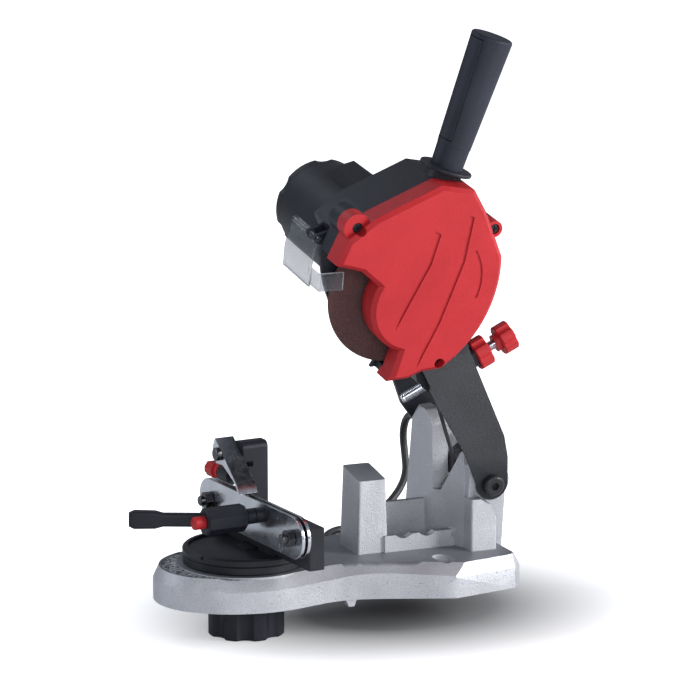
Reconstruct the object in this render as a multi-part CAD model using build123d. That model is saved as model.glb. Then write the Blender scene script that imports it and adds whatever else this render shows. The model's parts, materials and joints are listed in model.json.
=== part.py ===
from build123d import *
import math
import os

# Electric chainsaw sharpener, bench-mounted, millimetres, +Z up.
# Three frames are used while building:
#   base frame   origin at the turntable centre on the top face of the base casting
#   vise frame   the base frame turned about Z by VISE_TURN
#   arm frame    the base frame tipped back about X by ARM_TILT; its Y runs along the pivot
# Every finished piece is then moved so that the origin lies on the underside of the base,
# midway between the two bench slots.

# ---------------------------------------------------------------- driving dimensions
ARM_TILT = 10.0            # grinding head leans away from the operator, degrees
VISE_TURN = 6.0            # vise stands a little off square at rest, degrees
FLAT_GAP = 0.3             # between faces that pass or face each other
RUN_GAP = 0.05             # radial running clearance of shafts

# base casting
BASE_HEIGHT = 26.0
BASE_BEVEL_DROP = 10.0
BASE_BEVEL_IN = 4.5
BASE_WALL = 5.0
BASE_DECK = 7.0
RIB = 3.0
NOSE_RADIUS = 50.0
NOSE_X = -73.0
TAIL_X = 204.0
TAIL_HALF_WIDTH = 68.0
SHOULDER = (143.0, 78.0)
LEDGE_RIM = 4.0            # land round the turntable
PAD_DEPTH = 1.2
TICK_STEP = 5.0            # degrees between scale ticks
TICK_COUNT = 6             # ticks each side of the middle one
TICK_START = 1.6           # from the land to the ticks
TICK_LENGTH = 3.0
SLOT_X = 142.0             # bench slots
SLOT_SPACING = 110.0
SLOT_LENGTH = 25.0
SLOT_RADIUS = 7.0
LUG_X = 67.0               # lugs that locate against the bench edge
LUG_Y = 46.0
LUG_DROP = 5.5
LUG_WIDTH = 9.0

# depth stop block and trough
BLOCK_X = (85.0, 111.0)
BLOCK_Y = (-20.0, 17.0)
BLOCK_DRAFT = 1.8
BLOCK_TOP = 60.0           # height in the arm frame, so the top lies square to the arm
TROUGH_FAR_TOP = 31.0
TROUGH_NEAR_TOP = 13.0
TROUGH_WALL = 5.0

# yoke, arm frame
PIVOT_X = 189.0
PIVOT_Z = 58.0
YOKE_NEAR = (-28.7, -17.0)
YOKE_FAR = (41.0, 52.0)
YOKE_FRONT_X = 156.0
YOKE_WALL = 11.0
YOKE_TOP = 101.0
WINDOW_SILL = 42.0
POST_X = (170.0, 192.0)
POST_Y = (-45.0, -22.0)
POST_TOP = 41.0

# pivot
PIVOT_RADIUS = 5.0
PIVOT_HEAD_RADIUS = 8.5
PIVOT_HEAD_HEIGHT = 5.0
PIVOT_NUT_FLATS = 17.0
PIVOT_NUT_HEIGHT = 8.0
ARM_END_RADIUS = 13.0
BUSH_WALL = 1.5

# return spring
SPRING_WIRE = 3.0
SPRING_RADIUS = 15.5
SPRING_TURNS = 4.5
SPRING_PITCH = 3.6
SPRING_START = 3.0

# swing arm, arm frame
ARM_NEAR_FACE = -33.0
ARM_FAR_FACE = 65.0
ARM_PLATE = 3.0
ARM_FAR_PLATE = 4.5
ARM_LIP = 11.0
ARM_BEND_Z = 80.0
ARM_JOIN_Z = 158.0
BRIDGE_CORNER = (142.0, 127.0)

# grinding head, arm frame
SPINDLE_X = 110.0
SPINDLE_Z = 207.0
MOTOR_X = 108.0
MOTOR_Z = 231.0
DISC_RADIUS = 54.0
DISC_THICK = 3.2
DISC_BORE = 11.5
DISC_Y = 6.0
COVER_DEPTH = 22.0
COVER_WALL = 2.6
COVER_BEVEL = 3.2
LOWER_BOSS_GAP = 3.36       # lower screw's axis outside the disc's edge
TRAY_DEPTH = 16.0
TRAY_CAVITY = 12.0
CHAMBER_BACK = 42.0
MOTOR_PLATE_BACK = 50.0
MOTOR_RADIUS = 37.6
MOTOR_WALL = 2.6
MOTOR_BACK = 146.0
END_CAP_BACK = 158.0
SPINDLE_RADIUS = 6.0
MOTOR_SHAFT_RADIUS = 4.0
SPINDLE_PULLEY_RADIUS = 13.0
MOTOR_PULLEY_RADIUS = 6.5
PULLEY_Y = (25.0, 37.0)
BELT_THICK = 2.2
BEARING_RADIUS = 11.0
BEARING_WIDTH = 7.0

# limit screw, arm frame
LIMIT_TIP = (125.0, 118.8)
LIMIT_KNOB = (209.0, 163.2)
LIMIT_Y = 8.0
LIMIT_RADIUS = 4.0
LIMIT_KNOB_RADIUS = 12.3
LIMIT_KNOB_HEIGHT = 12.0
LOCK_KNOB_RADIUS = 12.8
LOCK_KNOB_AT = 72.4        # distance of the locking knob's middle from the tip
LOCK_KNOB_HEIGHT = 12.0
COLLAR_RADIUS = 8.5
COLLAR_HEIGHT = 3.5

# handle, arm frame
HANDLE_BASE = (146.0, 8.0, 304.0)
HANDLE_LEAN = 16.3
HANDLE_COLLAR_RADIUS = 20.5
HANDLE_COLLAR_THICK = 3.0
HANDLE_NECK_RADIUS = 12.5
HANDLE_NECK_LENGTH = 17.0
HANDLE_GRIP_LOW = 13.2
HANDLE_GRIP_HIGH = 16.2
HANDLE_GRIP_LENGTH = 88.0
PADDLE_WIDTH = 15.0
PADDLE_TRAVEL = 1.2
PADDLE_TURN = -76.0        # from the operator's side round to the left, degrees

# turntable and vise, vise frame
TABLE_RADIUS = 49.0
TABLE_HEIGHT = 12.7
TABLE_FLOOR = 10.5
STUD_RADIUS = 5.0
CLAMP_KNOB_RADIUS = 30.0
CLAMP_KNOB_TOP = -34.0
CLAMP_KNOB_BOTTOM = -57.0
CLAMP_KNOB_LOBES = 8
RAIL_NEAR_END = -99.0
RAIL_FAR_END = 72.0
RAIL_BOTTOM = 21.0
RAIL_TOP = 53.0
RAIL_THICK = 2.5
CHAIN_GAP = 2.4
SUPPORT_X = (3.7, 17.0)
SUPPORT_Y = (-96.0, 60.0)
SUPPORT_Z = (13.0, 45.0)
RAIL_BOLT_Y = (-83.0, 52.0)
RAIL_BOLT_Z = 37.0
RAIL_BOLT_RADIUS = 4.0
CLAMP_Y = -20.0
CLAMP_Z = 40.0
HUB_X = (-46.0, -12.4)
HUB_FLATS = 20.0
LEVER_LENGTH = 63.0
LEVER_FLARE = 26.0         # length of the flared end
LEVER_SWING = 149.5        # direction in plan from +X, degrees
BUTTON_RADIUS = 5.0
BUTTON_LENGTH = 9.0
BUTTON_TRAVEL = 2.5
PAWL_PIVOT = (28.0, 79.0)
PAWL_WIDTH = 16.0
PAWL_THICK = 2.0
PAWL_PIN_RADIUS = 3.0
BRACKET_Y = (20.0, 36.0)
BRACKET_X = (17.0, 30.0)
BRACKET_TOP = 87.0
FEED_Z = 62.0
FEED_RADIUS = 3.0
FEED_TIP = 10.5
FEED_KNOB_Y = (37.5, 55.5)

# spark guard, arm frame
GUARD_HINGE = (52.0, 250.0)
GUARD_Y = (18.0, 70.0)
GUARD_LUG_Y = (22.0, 36.0)
TAB_DEPTH = 0.5
TAB_REACH = 12.0
GUARD_THICK = 2.0
GUARD_PIN_RADIUS = 1.5

# mains lead, base frame
CORD_DIAMETER = 6.2
FLOOR_Z = CLAMP_KNOB_BOTTOM
BOOT_LENGTH = 33.0
BOOT_RADIUS = 13.0
COIL_CENTRE = (172.0, 140.0)
COIL_INNER = 29.0
COIL_OUTER = 43.0
COIL_HEIGHT = 19.0
CORD_ROUTE = [
    (189.0, 86.15, 74.08),
    (189.0, 104.0, 77.3),
    (188.3, 122.0, 71.5),
    (187.0, 133.0, 56.5),
    (186.0, 133.0, 38.0),
    (182.0, 125.0, 21.5),
    (172.0, 114.0, 9.0),
    (159.5, 106.5, -1.0),
    (145.0, 103.0, -11.5),
    (135.5, 103.5, -24.0),
    (132.4, 108.0, -38.5),
    (131.8, 118.5, -49.2),
    (132.8, 134.0, -53.9),
]

BASE_FRAME = Location((0, 0, 0))
ARM_FRAME = Location((0, 0, 0), (ARM_TILT, 0, 0))
VISE_FRAME = Location((0, 0, 0), (0, 0, VISE_TURN))
PLACE = Location((-SLOT_X, 0, BASE_HEIGHT))


# ---------------------------------------------------------------- drawing helpers
def block(x, y, z):
    """Box from its three (low, high) pairs."""
    size = [pair[1] - pair[0] for pair in (x, y, z)]
    middle = [(pair[0] + pair[1]) / 2 for pair in (x, y, z)]
    return Pos(*middle) * Box(*size)


def across(sketch, y_from, y_to):
    """Profile drawn in (x, z), given depth along Y."""
    plane = Plane(origin=(0, y_to, 0), x_dir=(1, 0, 0), z_dir=(0, -1, 0))
    return extrude(plane * sketch, amount=y_to - y_from, dir=(0, -1, 0))


def along_x(sketch, x_from, x_to):
    """Profile drawn in (y, z), given depth along X."""
    plane = Plane(origin=(x_from, 0, 0), x_dir=(0, 1, 0), z_dir=(1, 0, 0))
    return extrude(plane * sketch, amount=x_to - x_from, dir=(1, 0, 0))


def upward(sketch, z_from, z_to):
    """Profile drawn in (x, y), given height along Z."""
    return extrude(Pos(0, 0, z_from) * sketch, amount=z_to - z_from, dir=(0, 0, 1))


def outline(points):
    """Face inside a closed run of straight edges."""
    return make_face(Polyline(*points, close=True))


def disc_at(x, y, radius):
    return Pos(x, y) * Circle(radius)


def rod(start, end, radius):
    """Round bar between two points."""
    direction = Vector(*end) - Vector(*start)
    plane = Plane(origin=start, z_dir=direction)
    return extrude(plane * Circle(radius), amount=direction.length)


def hexagon(flats):
    return RegularPolygon(flats / 2, 6, major_radius=False)


def ring(x, z, outer, inner, y_from, y_to):
    """Bush, bearing or washer lying along Y."""
    return across(disc_at(x, z, outer) - disc_at(x, z, inner), y_from, y_to)


# ---------------------------------------------------------------- base casting
def base_face(inset=0.0):
    """Plan of the casting: round nose, waist, wide shoulders and a square tail."""
    nose_start = (-53.0 + inset * 0.6, 40.0 - inset * 0.8)
    side = [nose_start]
    for x, y in ((-22.0, 56.5), (8.5, 59.5), (57.0, 50.5), (103.0, 62.5), SHOULDER):
        side.append((x, y - inset))
    corner = 7.0
    tail_x = TAIL_X - inset
    reach = TAIL_HALF_WIDTH - inset
    edges = [ThreePointArc(nose_start, (NOSE_X + inset, 0), (nose_start[0], -nose_start[1]))]
    for sign in (1, -1):
        edges.append(Spline(*[(x, sign * y) for x, y in side]))
        tail = (tail_x - corner, sign * reach)
        edges.append(Line((side[-1][0], sign * side[-1][1]), tail))
        edges.append(Line(tail, (tail_x, sign * (reach - corner))))
    edges.append(Line((tail_x, reach - corner), (tail_x, corner - reach)))
    return make_face(edges)


def base_plate():
    """Bevelled slab, hollow underneath with a rib grid."""
    plan = base_face()
    slab = upward(plan, -BASE_HEIGHT, 0)
    rim = slab.edges().group_by(Axis.Z)[-1]
    slab = chamfer(rim, length=BASE_BEVEL_IN, length2=BASE_BEVEL_DROP, reference=slab.faces().sort_by(Axis.Z)[-1])
    slab += upward(Circle(TABLE_RADIUS + LEDGE_RIM), -BASE_BEVEL_DROP, 0)
    hollow = upward(base_face(BASE_WALL), -BASE_HEIGHT, -BASE_DECK)
    for x in range(-36, 200, 36):
        hollow -= block((x, x + RIB), (-90, 90), (-BASE_HEIGHT, 0))
    for y in (-38.0, -13.0, 10.0, 35.0):
        hollow -= block((-80, 210), (y, y + RIB), (-BASE_HEIGHT, 0))
    hollow -= upward(Circle(STUD_RADIUS + 12), -BASE_HEIGHT, 0)
    for sign in (1, -1):
        pad = Pos(SLOT_X, sign * SLOT_SPACING / 2) * SlotOverall(SLOT_LENGTH + 10, SLOT_RADIUS * 2 + 10, rotation=90)
        hollow -= upward(pad, -BASE_HEIGHT, 0)
        lug_seat = (sign * LUG_Y - 8, sign * LUG_Y + 8)
        hollow -= block((LUG_X - LUG_WIDTH, LUG_X + LUG_WIDTH), lug_seat, (-BASE_HEIGHT, 0))
    return slab - hollow


def base_lug(sign):
    """Tapered lug that hooks over the bench edge."""
    profile = outline([
        (LUG_X - LUG_WIDTH / 2, -BASE_HEIGHT),
        (LUG_X + LUG_WIDTH / 2, -BASE_HEIGHT),
        (LUG_X + LUG_WIDTH / 4, -BASE_HEIGHT - LUG_DROP),
        (LUG_X - LUG_WIDTH / 4, -BASE_HEIGHT - LUG_DROP),
    ])
    return across(profile, sign * LUG_Y - 4, sign * LUG_Y + 4)


def scale_pad():
    """Sunk crescent in front of the turntable, and the ticks that stand in it."""
    inside = base_face(BASE_BEVEL_IN + 1.5)
    front = Pos(-60, 0) * Rectangle(88, 200)
    crescent = (inside & front) - Circle(TABLE_RADIUS + LEDGE_RIM)
    ticks = []
    for index in range(-TICK_COUNT, TICK_COUNT + 1):
        length = TICK_LENGTH * (1.5 if index % 3 == 0 else 1.0)
        middle = TABLE_RADIUS + LEDGE_RIM + TICK_START + length / 2
        bar = Pos(middle, 0, -PAD_DEPTH) * Box(length, 0.9, 1.6)
        ticks.append(Rot(0, 0, 180 + index * TICK_STEP) * bar)
    return upward(crescent, -PAD_DEPTH, 1), ticks


def stop_block():
    """Drafted block whose top stops the head."""
    middle = (sum(BLOCK_X) / 2, sum(BLOCK_Y) / 2)
    size = (BLOCK_X[1] - BLOCK_X[0], BLOCK_Y[1] - BLOCK_Y[0])
    bottom = Pos(middle[0], middle[1], -1) * Rectangle(*size)
    top = Pos(middle[0], middle[1], BLOCK_TOP + 12)
    top = top * Rectangle(size[0] - 2 * BLOCK_DRAFT * 1.2, size[1] - 2 * BLOCK_DRAFT)
    body = loft([bottom, top])
    body = fillet(body.edges().filter_by(lambda edge: abs(edge.tangent_at(0).Z) > 0.9), 2.0)
    return body - ARM_FRAME * block((60, 140), (-60, 60), (BLOCK_TOP, BLOCK_TOP + 60))


def trough():
    """Walls that tie the stop block to the yoke."""
    start = BLOCK_X[1] - 4
    end = YOKE_FRONT_X + 3
    far = block((start, end), (BLOCK_Y[1] - TROUGH_WALL, BLOCK_Y[1]), (-1, TROUGH_FAR_TOP))
    near = block((start, end + 9), (BLOCK_Y[0] - 2, BLOCK_Y[0] + TROUGH_WALL), (-1, TROUGH_NEAR_TOP))
    for x in (start + 16, start + 36):
        scallop = rod((x, BLOCK_Y[0] - 10, TROUGH_NEAR_TOP + 6), (x, BLOCK_Y[0] + 10, TROUGH_NEAR_TOP + 6), 9)
        near -= scallop
    return far + near


def yoke_cheek(y_from, y_to, shape, boss_face):
    """One cheek, drawn in the arm frame and carried down into the base."""
    cheek = across(outline(shape), y_from, y_to)
    cheek += across(disc_at(PIVOT_X, PIVOT_Z, ARM_END_RADIUS + 3), y_from, y_to)
    boss = sorted((boss_face, y_from if boss_face < y_from else y_to))
    cheek += across(disc_at(PIVOT_X, PIVOT_Z, ARM_END_RADIUS - 1), boss[0], boss[1])
    return cheek


def yoke():
    """Two cheeks joined by a tall front wall with an open window."""
    tail = PIVOT_X + 15
    near = yoke_cheek(*YOKE_NEAR, [(168, -12), (171, 40), (171, 70), (177, 77), (191, 77), (202, 66), (tail, -12)],
                      ARM_NEAR_FACE + ARM_PLATE + FLAT_GAP)
    far = yoke_cheek(*YOKE_FAR, [(156, -20), (156, 84), (161, 94), (171, 95), (204, 66), (tail, -20)],
                     ARM_FAR_FACE - ARM_FAR_PLATE - FLAT_GAP)
    body = ARM_FRAME * (near + far)
    plan = outline([
        (YOKE_FRONT_X, 50), (YOKE_FRONT_X, 0), (170, -31),
        (170 + YOKE_WALL, -31), (YOKE_FRONT_X + YOKE_WALL + 1, 4), (YOKE_FRONT_X + YOKE_WALL, 50),
    ])
    wall = upward(plan, -1, YOKE_TOP + 4)
    front = make_face([
        Line((60, -5), (-40, -5)),
        Line((-40, -5), (-40, 78)),
        Line((-40, 78), (-28, 76)),
        Line((-28, 76), (-9, WINDOW_SILL)),
        Line((-9, WINDOW_SILL), (-1, WINDOW_SILL)),
        Line((-1, WINDOW_SILL), (-1, 92)),
        ThreePointArc((-1, 92), (12, YOKE_TOP + 2), (30, 96)),
        Line((30, 96), (60, 60)),
        Line((60, 60), (60, -5)),
    ])
    wall &= along_x(front, 140, 200)
    wall -= ARM_FRAME * block((140, 220), (YOKE_FAR[1], 90), (-30, 140))
    wall -= ARM_FRAME * block((140, 220), (-60, YOKE_NEAR[0]), (-30, 140))
    post = block(POST_X, POST_Y, (-1, POST_TOP))
    slope = outline([(POST_X[1] + 1, 22), (POST_X[1] + 1, 60), (POST_X[0] - 1, 60), (POST_X[0] - 1, 43), (184, 41)])
    post -= across(slope, -60, 0)
    post = fillet(post.edges().filter_by(Axis.Z), 2.0)
    post -= ARM_FRAME * across(disc_at(PIVOT_X, PIVOT_Z, ARM_END_RADIUS + 1.5), -70, YOKE_NEAR[0])
    rib = rod((YOKE_FRONT_X + 8, 30, 34), (YOKE_FRONT_X + 12, -22, 8), 5)
    body = body + wall + post + rib
    room = SPRING_RADIUS + SPRING_WIRE / 2 + 1
    body -= ARM_FRAME * across(disc_at(PIVOT_X, PIVOT_Z, room), YOKE_NEAR[1], YOKE_FAR[0])
    bore = rod((PIVOT_X, -80, PIVOT_Z), (PIVOT_X, 120, PIVOT_Z), PIVOT_RADIUS + RUN_GAP)
    return body - ARM_FRAME * bore - block((100, 240), (-90, 90), (-60, -3))


def base_casting():
    body = base_plate()
    pad, ticks = scale_pad()
    body -= pad
    for tick in ticks:
        body += tick
    body += stop_block() + trough() + yoke()
    for sign in (1, -1):
        body += base_lug(sign)
        slot = Pos(SLOT_X, sign * SLOT_SPACING / 2) * SlotOverall(SLOT_LENGTH, SLOT_RADIUS * 2, rotation=90)
        body -= upward(slot, -BASE_HEIGHT - 1, 5)
    return body - upward(Circle(STUD_RADIUS + RUN_GAP), -BASE_HEIGHT - 1, 5)


# ---------------------------------------------------------------- pivot
def pivot_bolt():
    """Shouldered bolt with a domed socket head on the operator's side."""
    face = ARM_NEAR_FACE - FLAT_GAP
    end = ARM_FAR_FACE + FLAT_GAP + PIVOT_NUT_HEIGHT
    shank = rod((PIVOT_X, face, PIVOT_Z), (PIVOT_X, end, PIVOT_Z), PIVOT_RADIUS)
    head = rod((PIVOT_X, face - PIVOT_HEAD_HEIGHT, PIVOT_Z), (PIVOT_X, face, PIVOT_Z), PIVOT_HEAD_RADIUS)
    head = fillet(head.edges().group_by(Axis.Y)[0], 2.4)
    socket = across(Pos(PIVOT_X, PIVOT_Z) * hexagon(6.0), face - PIVOT_HEAD_HEIGHT - 1, face - 1.6)
    return shank + head - socket


def pivot_nut():
    face = ARM_FAR_FACE + FLAT_GAP
    shape = Pos(PIVOT_X, PIVOT_Z) * (hexagon(PIVOT_NUT_FLATS) - Circle(PIVOT_RADIUS))
    return across(shape, face, face + PIVOT_NUT_HEIGHT)


def pivot_spacer():
    """Tube between the cheeks that carries the spring coil."""
    outer = SPRING_RADIUS - SPRING_WIRE / 2 - FLAT_GAP
    return ring(PIVOT_X, PIVOT_Z, outer, PIVOT_RADIUS + RUN_GAP, YOKE_NEAR[1], YOKE_FAR[0])


def return_spring():
    """Torsion spring: coil round the spacer and the leg that rests on the window sill."""
    height = SPRING_TURNS * SPRING_PITCH
    helix = Helix(pitch=SPRING_PITCH, height=height, radius=SPRING_RADIUS)
    start = helix @ 0
    section = Plane(origin=start, z_dir=helix % 0) * Circle(SPRING_WIRE / 2)
    coil = sweep(section, path=helix, is_frenet=True)
    coil = Pos(PIVOT_X, SPRING_START + height, PIVOT_Z) * Rot(90, 0, 0) * coil
    top = (PIVOT_X - SPRING_RADIUS, SPRING_START, PIVOT_Z)
    sill = WINDOW_SILL + SPRING_WIRE
    return coil + rod(top, (PIVOT_X - SPRING_RADIUS - 10, SPRING_START, sill), SPRING_WIRE / 2)


def spring_arm_leg():
    """The spring's other leg, which runs up to the bridge and follows the arm."""
    y = SPRING_START - SPRING_WIRE - FLAT_GAP
    start = (PIVOT_X - SPRING_RADIUS, y, PIVOT_Z)
    return rod(start, (BRIDGE_CORNER[0] + 5.5, y, BRIDGE_CORNER[1] + 0.6), SPRING_WIRE / 2)


# ---------------------------------------------------------------- swing arm
def leg_face(left, right, top_left, top_right):
    """Leg of the fork: round at the pivot, widening to the head."""
    r = ARM_END_RADIUS
    return make_face([
        ThreePointArc((PIVOT_X - r, PIVOT_Z), (PIVOT_X, PIVOT_Z - r), (PIVOT_X + r, PIVOT_Z)),
        Line((PIVOT_X + r, PIVOT_Z), (PIVOT_X + 10, right)),
        Line((PIVOT_X + 10, right), top_right),
        Line(top_right, top_left),
        Line(top_left, left),
        Line(left, (PIVOT_X - r, PIVOT_Z)),
    ])


def lower_arc():
    """Round lower right side of the head, shared by cover, housing and arm."""
    return ThreePointArc((143, 153.6), (176, 190), (186.5, 241))


def head_seat():
    """Region above the line where the arm meets the head."""
    face = make_face([
        Line((80, 149.5), (126, 152)), Line((126, 152), (143, 153.6)), lower_arc(),
        Line((186.5, 241), (186.5, 300)), Line((186.5, 300), (80, 300)), Line((80, 300), (80, 149.5)),
    ])
    x, z, radius = COVER_BOSSES[-1]
    return face + disc_at(x, z, radius + FLAT_GAP)


def swing_arm():
    """Cast fork: flat far leg, dished near leg bent in to the head, thick bridge under the head."""
    near_face = leg_face((161, 91.6), 95, (128, 160), (166, 185))
    bend = ARM_BEND_Z
    join = ARM_JOIN_Z
    outer = [(ARM_NEAR_FACE, 30), (ARM_NEAR_FACE, bend), (1, join), (1, 200)]
    plate = along_x(outline(outer + [
        (1 + ARM_LIP, 200), (1 + ARM_LIP, join), (-14, 103), (-25.5, 90),
        (ARM_NEAR_FACE + ARM_PLATE, bend), (ARM_NEAR_FACE + ARM_PLATE, 30),
    ]), 100, 240)
    dish = along_x(outline([(y + ARM_PLATE * 1.08, z) for y, z in outer] + [(40, 200), (40, 30)]), 100, 240)
    pocket = across(offset(near_face, amount=-ARM_PLATE), -60, 60) & dish
    near = (across(near_face, -60, 60) & plate) - pocket
    far_face = leg_face((150, 92), 95, (122, 160), (166, 185))
    far = across(far_face, ARM_FAR_FACE - ARM_FAR_PLATE, ARM_FAR_FACE)
    rib = offset(far_face, amount=-ARM_PLATE)
    lip = across(far_face - rib, ARM_FAR_FACE - ARM_LIP, ARM_FAR_FACE) & block((80, 240), (0, 90), (118, 220))
    bridge_shape = outline([(133, 136), BRIDGE_CORNER, (177, 133), (179, 146), (165, 184), (126, 160)])
    bridge = across(bridge_shape, 0, ARM_FAR_FACE - 1)
    body = near + far + lip + bridge - across(head_seat(), -60, 90)
    body -= rod((PIVOT_X, -80, PIVOT_Z), (PIVOT_X, 120, PIVOT_Z), PIVOT_RADIUS + BUSH_WALL)
    collar = LOCK_KNOB_AT - LOCK_KNOB_HEIGHT / 2 - FLAT_GAP - COLLAR_HEIGHT
    body -= limit_rod(-30, 90, LIMIT_RADIUS + 1.5) + limit_rod(collar, 110, COLLAR_RADIUS + FLAT_GAP)
    return body - limit_rod(collar + COLLAR_HEIGHT, 110, LOCK_KNOB_RADIUS + FLAT_GAP)


def pivot_bushes():
    """Plain bushes pressed into the two legs."""
    outer = PIVOT_RADIUS + BUSH_WALL
    inner = PIVOT_RADIUS + RUN_GAP
    near = ring(PIVOT_X, PIVOT_Z, outer, inner, ARM_NEAR_FACE, ARM_NEAR_FACE + ARM_PLATE)
    far = ring(PIVOT_X, PIVOT_Z, outer, inner, ARM_FAR_FACE - ARM_FAR_PLATE, ARM_FAR_FACE)
    return [near, far]


# ---------------------------------------------------------------- limit screw
def limit_point(distance):
    """Point on the limit screw's axis, measured from its tip."""
    dx = LIMIT_KNOB[0] - LIMIT_TIP[0]
    dz = LIMIT_KNOB[1] - LIMIT_TIP[1]
    length = math.hypot(dx, dz)
    return (LIMIT_TIP[0] + dx * distance / length, LIMIT_Y, LIMIT_TIP[1] + dz * distance / length)


def limit_rod(start, end, radius):
    return rod(limit_point(start), limit_point(end), radius)


LIMIT_LENGTH = math.hypot(LIMIT_KNOB[0] - LIMIT_TIP[0], LIMIT_KNOB[1] - LIMIT_TIP[1])


def limit_bush():
    """Threaded bush in the bridge, with the collar the locking knob bears on."""
    collar_end = LOCK_KNOB_AT - LOCK_KNOB_HEIGHT / 2 - FLAT_GAP
    bush = limit_rod(26, collar_end, LIMIT_RADIUS + 1.5)
    bush += limit_rod(collar_end - COLLAR_HEIGHT, collar_end, COLLAR_RADIUS)
    return bush - limit_rod(0, LIMIT_LENGTH, LIMIT_RADIUS + RUN_GAP)


def limit_screw():
    """Round-ended setting screw."""
    screw = limit_rod(0, LIMIT_LENGTH - LIMIT_KNOB_HEIGHT / 2, LIMIT_RADIUS)
    return fillet(screw.edges().sort_by(Axis.X)[0], 1.6)


def star_knob(radius, height, lobes, bore, flute):
    """Lobed knob along +Z from 0, with rounded rims."""
    knob = Circle(radius)
    for index in range(lobes):
        angle = math.radians(360 / lobes * (index + 0.5))
        centre = (radius + flute * 0.62)
        knob -= Pos(centre * math.cos(angle), centre * math.sin(angle)) * Circle(flute)
    body = extrude(knob, amount=height)
    for rim in (0, -1):
        body = chamfer(body.edges().group_by(Axis.Z)[rim], 1.0)
    return body - Cylinder(bore, height * 3)


def on_limit_axis(shape, distance):
    direction = Vector(*limit_point(1)) - Vector(*limit_point(0))
    return Plane(origin=limit_point(distance), z_dir=direction).location * shape


def limit_knob():
    """End knob with its hub."""
    start = LIMIT_LENGTH - LIMIT_KNOB_HEIGHT / 2
    knob = on_limit_axis(star_knob(LIMIT_KNOB_RADIUS, LIMIT_KNOB_HEIGHT, 6, 0.01, 4.2), start)
    hub = limit_rod(start - 4, start + 1, 7.0)
    return knob + hub - limit_rod(0, start + FLAT_GAP, LIMIT_RADIUS + RUN_GAP)


def lock_knob():
    start = LOCK_KNOB_AT - LOCK_KNOB_HEIGHT / 2
    return on_limit_axis(star_knob(LOCK_KNOB_RADIUS, LOCK_KNOB_HEIGHT, 6, LIMIT_RADIUS + RUN_GAP, 4.4), start)


# ---------------------------------------------------------------- wheel cover and housing
LOWER_BOSS = Vector(SPINDLE_X, SPINDLE_Z) + Vector(0.5283, -0.849) * (DISC_RADIUS + LOWER_BOSS_GAP)
COVER_BOSSES = [(67.4, 269.8, 11.0), (181.0, 261.4, 6.6), (LOWER_BOSS.X, LOWER_BOSS.Y, 6.5)]


def cover_edges():
    """Right-hand and top edges that the cover and the housing share, from lower left to upper left."""
    return [
        Line((102, 153), (98, 146.4)),
        Line((98, 146.4), (116, 147.6)),
        Line((116, 147.6), (126, 152)),
        Line((126, 152), (143, 153.6)),
        lower_arc(),
        Line((186.5, 241), (170, 278)),
        Line((170, 278), (159, 296)),
        Line((159, 296), (132, 301)),
        Line((132, 301), (79, 278)),
        Line((79, 278), (58, 262)),
        Line((58, 262), (50, 243)),
    ]


def cover_face():
    """Cover outline with the cut-out that bares the disc."""
    edges = cover_edges() + [
        Line((50, 243), (71, 237)),
        Line((71, 237), (86, 224)),
        ThreePointArc((86, 224), (81, 203), (106.7, 170.6)),
        Line((106.7, 170.6), (102, 153)),
    ]
    return make_face(edges)


def tray_face():
    """Housing outline, which backs the disc all round."""
    edges = cover_edges() + [ThreePointArc((50, 243), (60, 203), (102, 153))]
    return make_face(edges)


def chamber_face():
    """Outline of the belt chamber behind the tray."""
    return make_face(cover_edges()[3:10] + [
        Line((58, 262), (68, 240)),
        Line((68, 240), (84, 200)),
        Line((84, 200), (108, 168)),
        Line((108, 168), (126, 152)),
    ])


def handle_point(height, side=0.0):
    """Point on the handle axis above the flange, or off it towards the operator."""
    lean = math.radians(HANDLE_LEAN)
    x, y, z = HANDLE_BASE
    return (x + height * math.sin(lean), y + side, z + height * math.cos(lean))


def head_housing():
    """Moulded body of the head: disc tray in front, belt chamber behind."""
    tray = across(tray_face(), 0, TRAY_DEPTH)
    for x, z, radius in COVER_BOSSES:
        tray += across(disc_at(x, z, radius), 0, TRAY_DEPTH)
    chamber = across(chamber_face(), TRAY_DEPTH - 1, CHAMBER_BACK) + guard_lugs()
    boss = rod(handle_point(-16), handle_point(-FLAT_GAP), 13.5)
    boss -= block((80, 220), (-40, FLAT_GAP), (200, 340))
    body = tray + chamber + boss
    well = offset(cover_face(), amount=-COVER_WALL) + disc_at(SPINDLE_X, SPINDLE_Z, DISC_RADIUS + 3)
    well = well & offset(tray_face(), amount=-COVER_WALL)
    open_side = outline([(20, 252), (75, 240), (88, 222), (84, 200), (98, 180), (106, 165), (98, 130), (20, 130)])
    body -= across(well, -1, TRAY_CAVITY)
    body -= across(open_side, -1, TRAY_CAVITY)
    body -= across(disc_at(SPINDLE_X, SPINDLE_Z, DISC_RADIUS + 1.5), -1, TRAY_CAVITY)
    body -= across(offset(chamber_face(), amount=-COVER_WALL * 1.3), TRAY_DEPTH + 4, CHAMBER_BACK + 1)
    body += across(disc_at(SPINDLE_X, SPINDLE_Z, BEARING_RADIUS + 4), TRAY_CAVITY, TRAY_DEPTH + 5)
    body -= across(disc_at(SPINDLE_X, SPINDLE_Z, BEARING_RADIUS), TRAY_CAVITY + 1, TRAY_CAVITY + 1 + BEARING_WIDTH + 5)
    body -= across(disc_at(SPINDLE_X, SPINDLE_Z, SPINDLE_RADIUS + 1), -5, 30)
    body -= rod(handle_point(-17), handle_point(1), STUD_RADIUS)
    for x, z, radius in COVER_BOSSES:
        body -= across(disc_at(x, z, 2.0), -1, 11)
    return body - guard_pin()


def slash(points, depth):
    """Tapered groove across the cover's face."""
    return across(outline(points), -COVER_DEPTH - 1, -COVER_DEPTH + depth)


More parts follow.
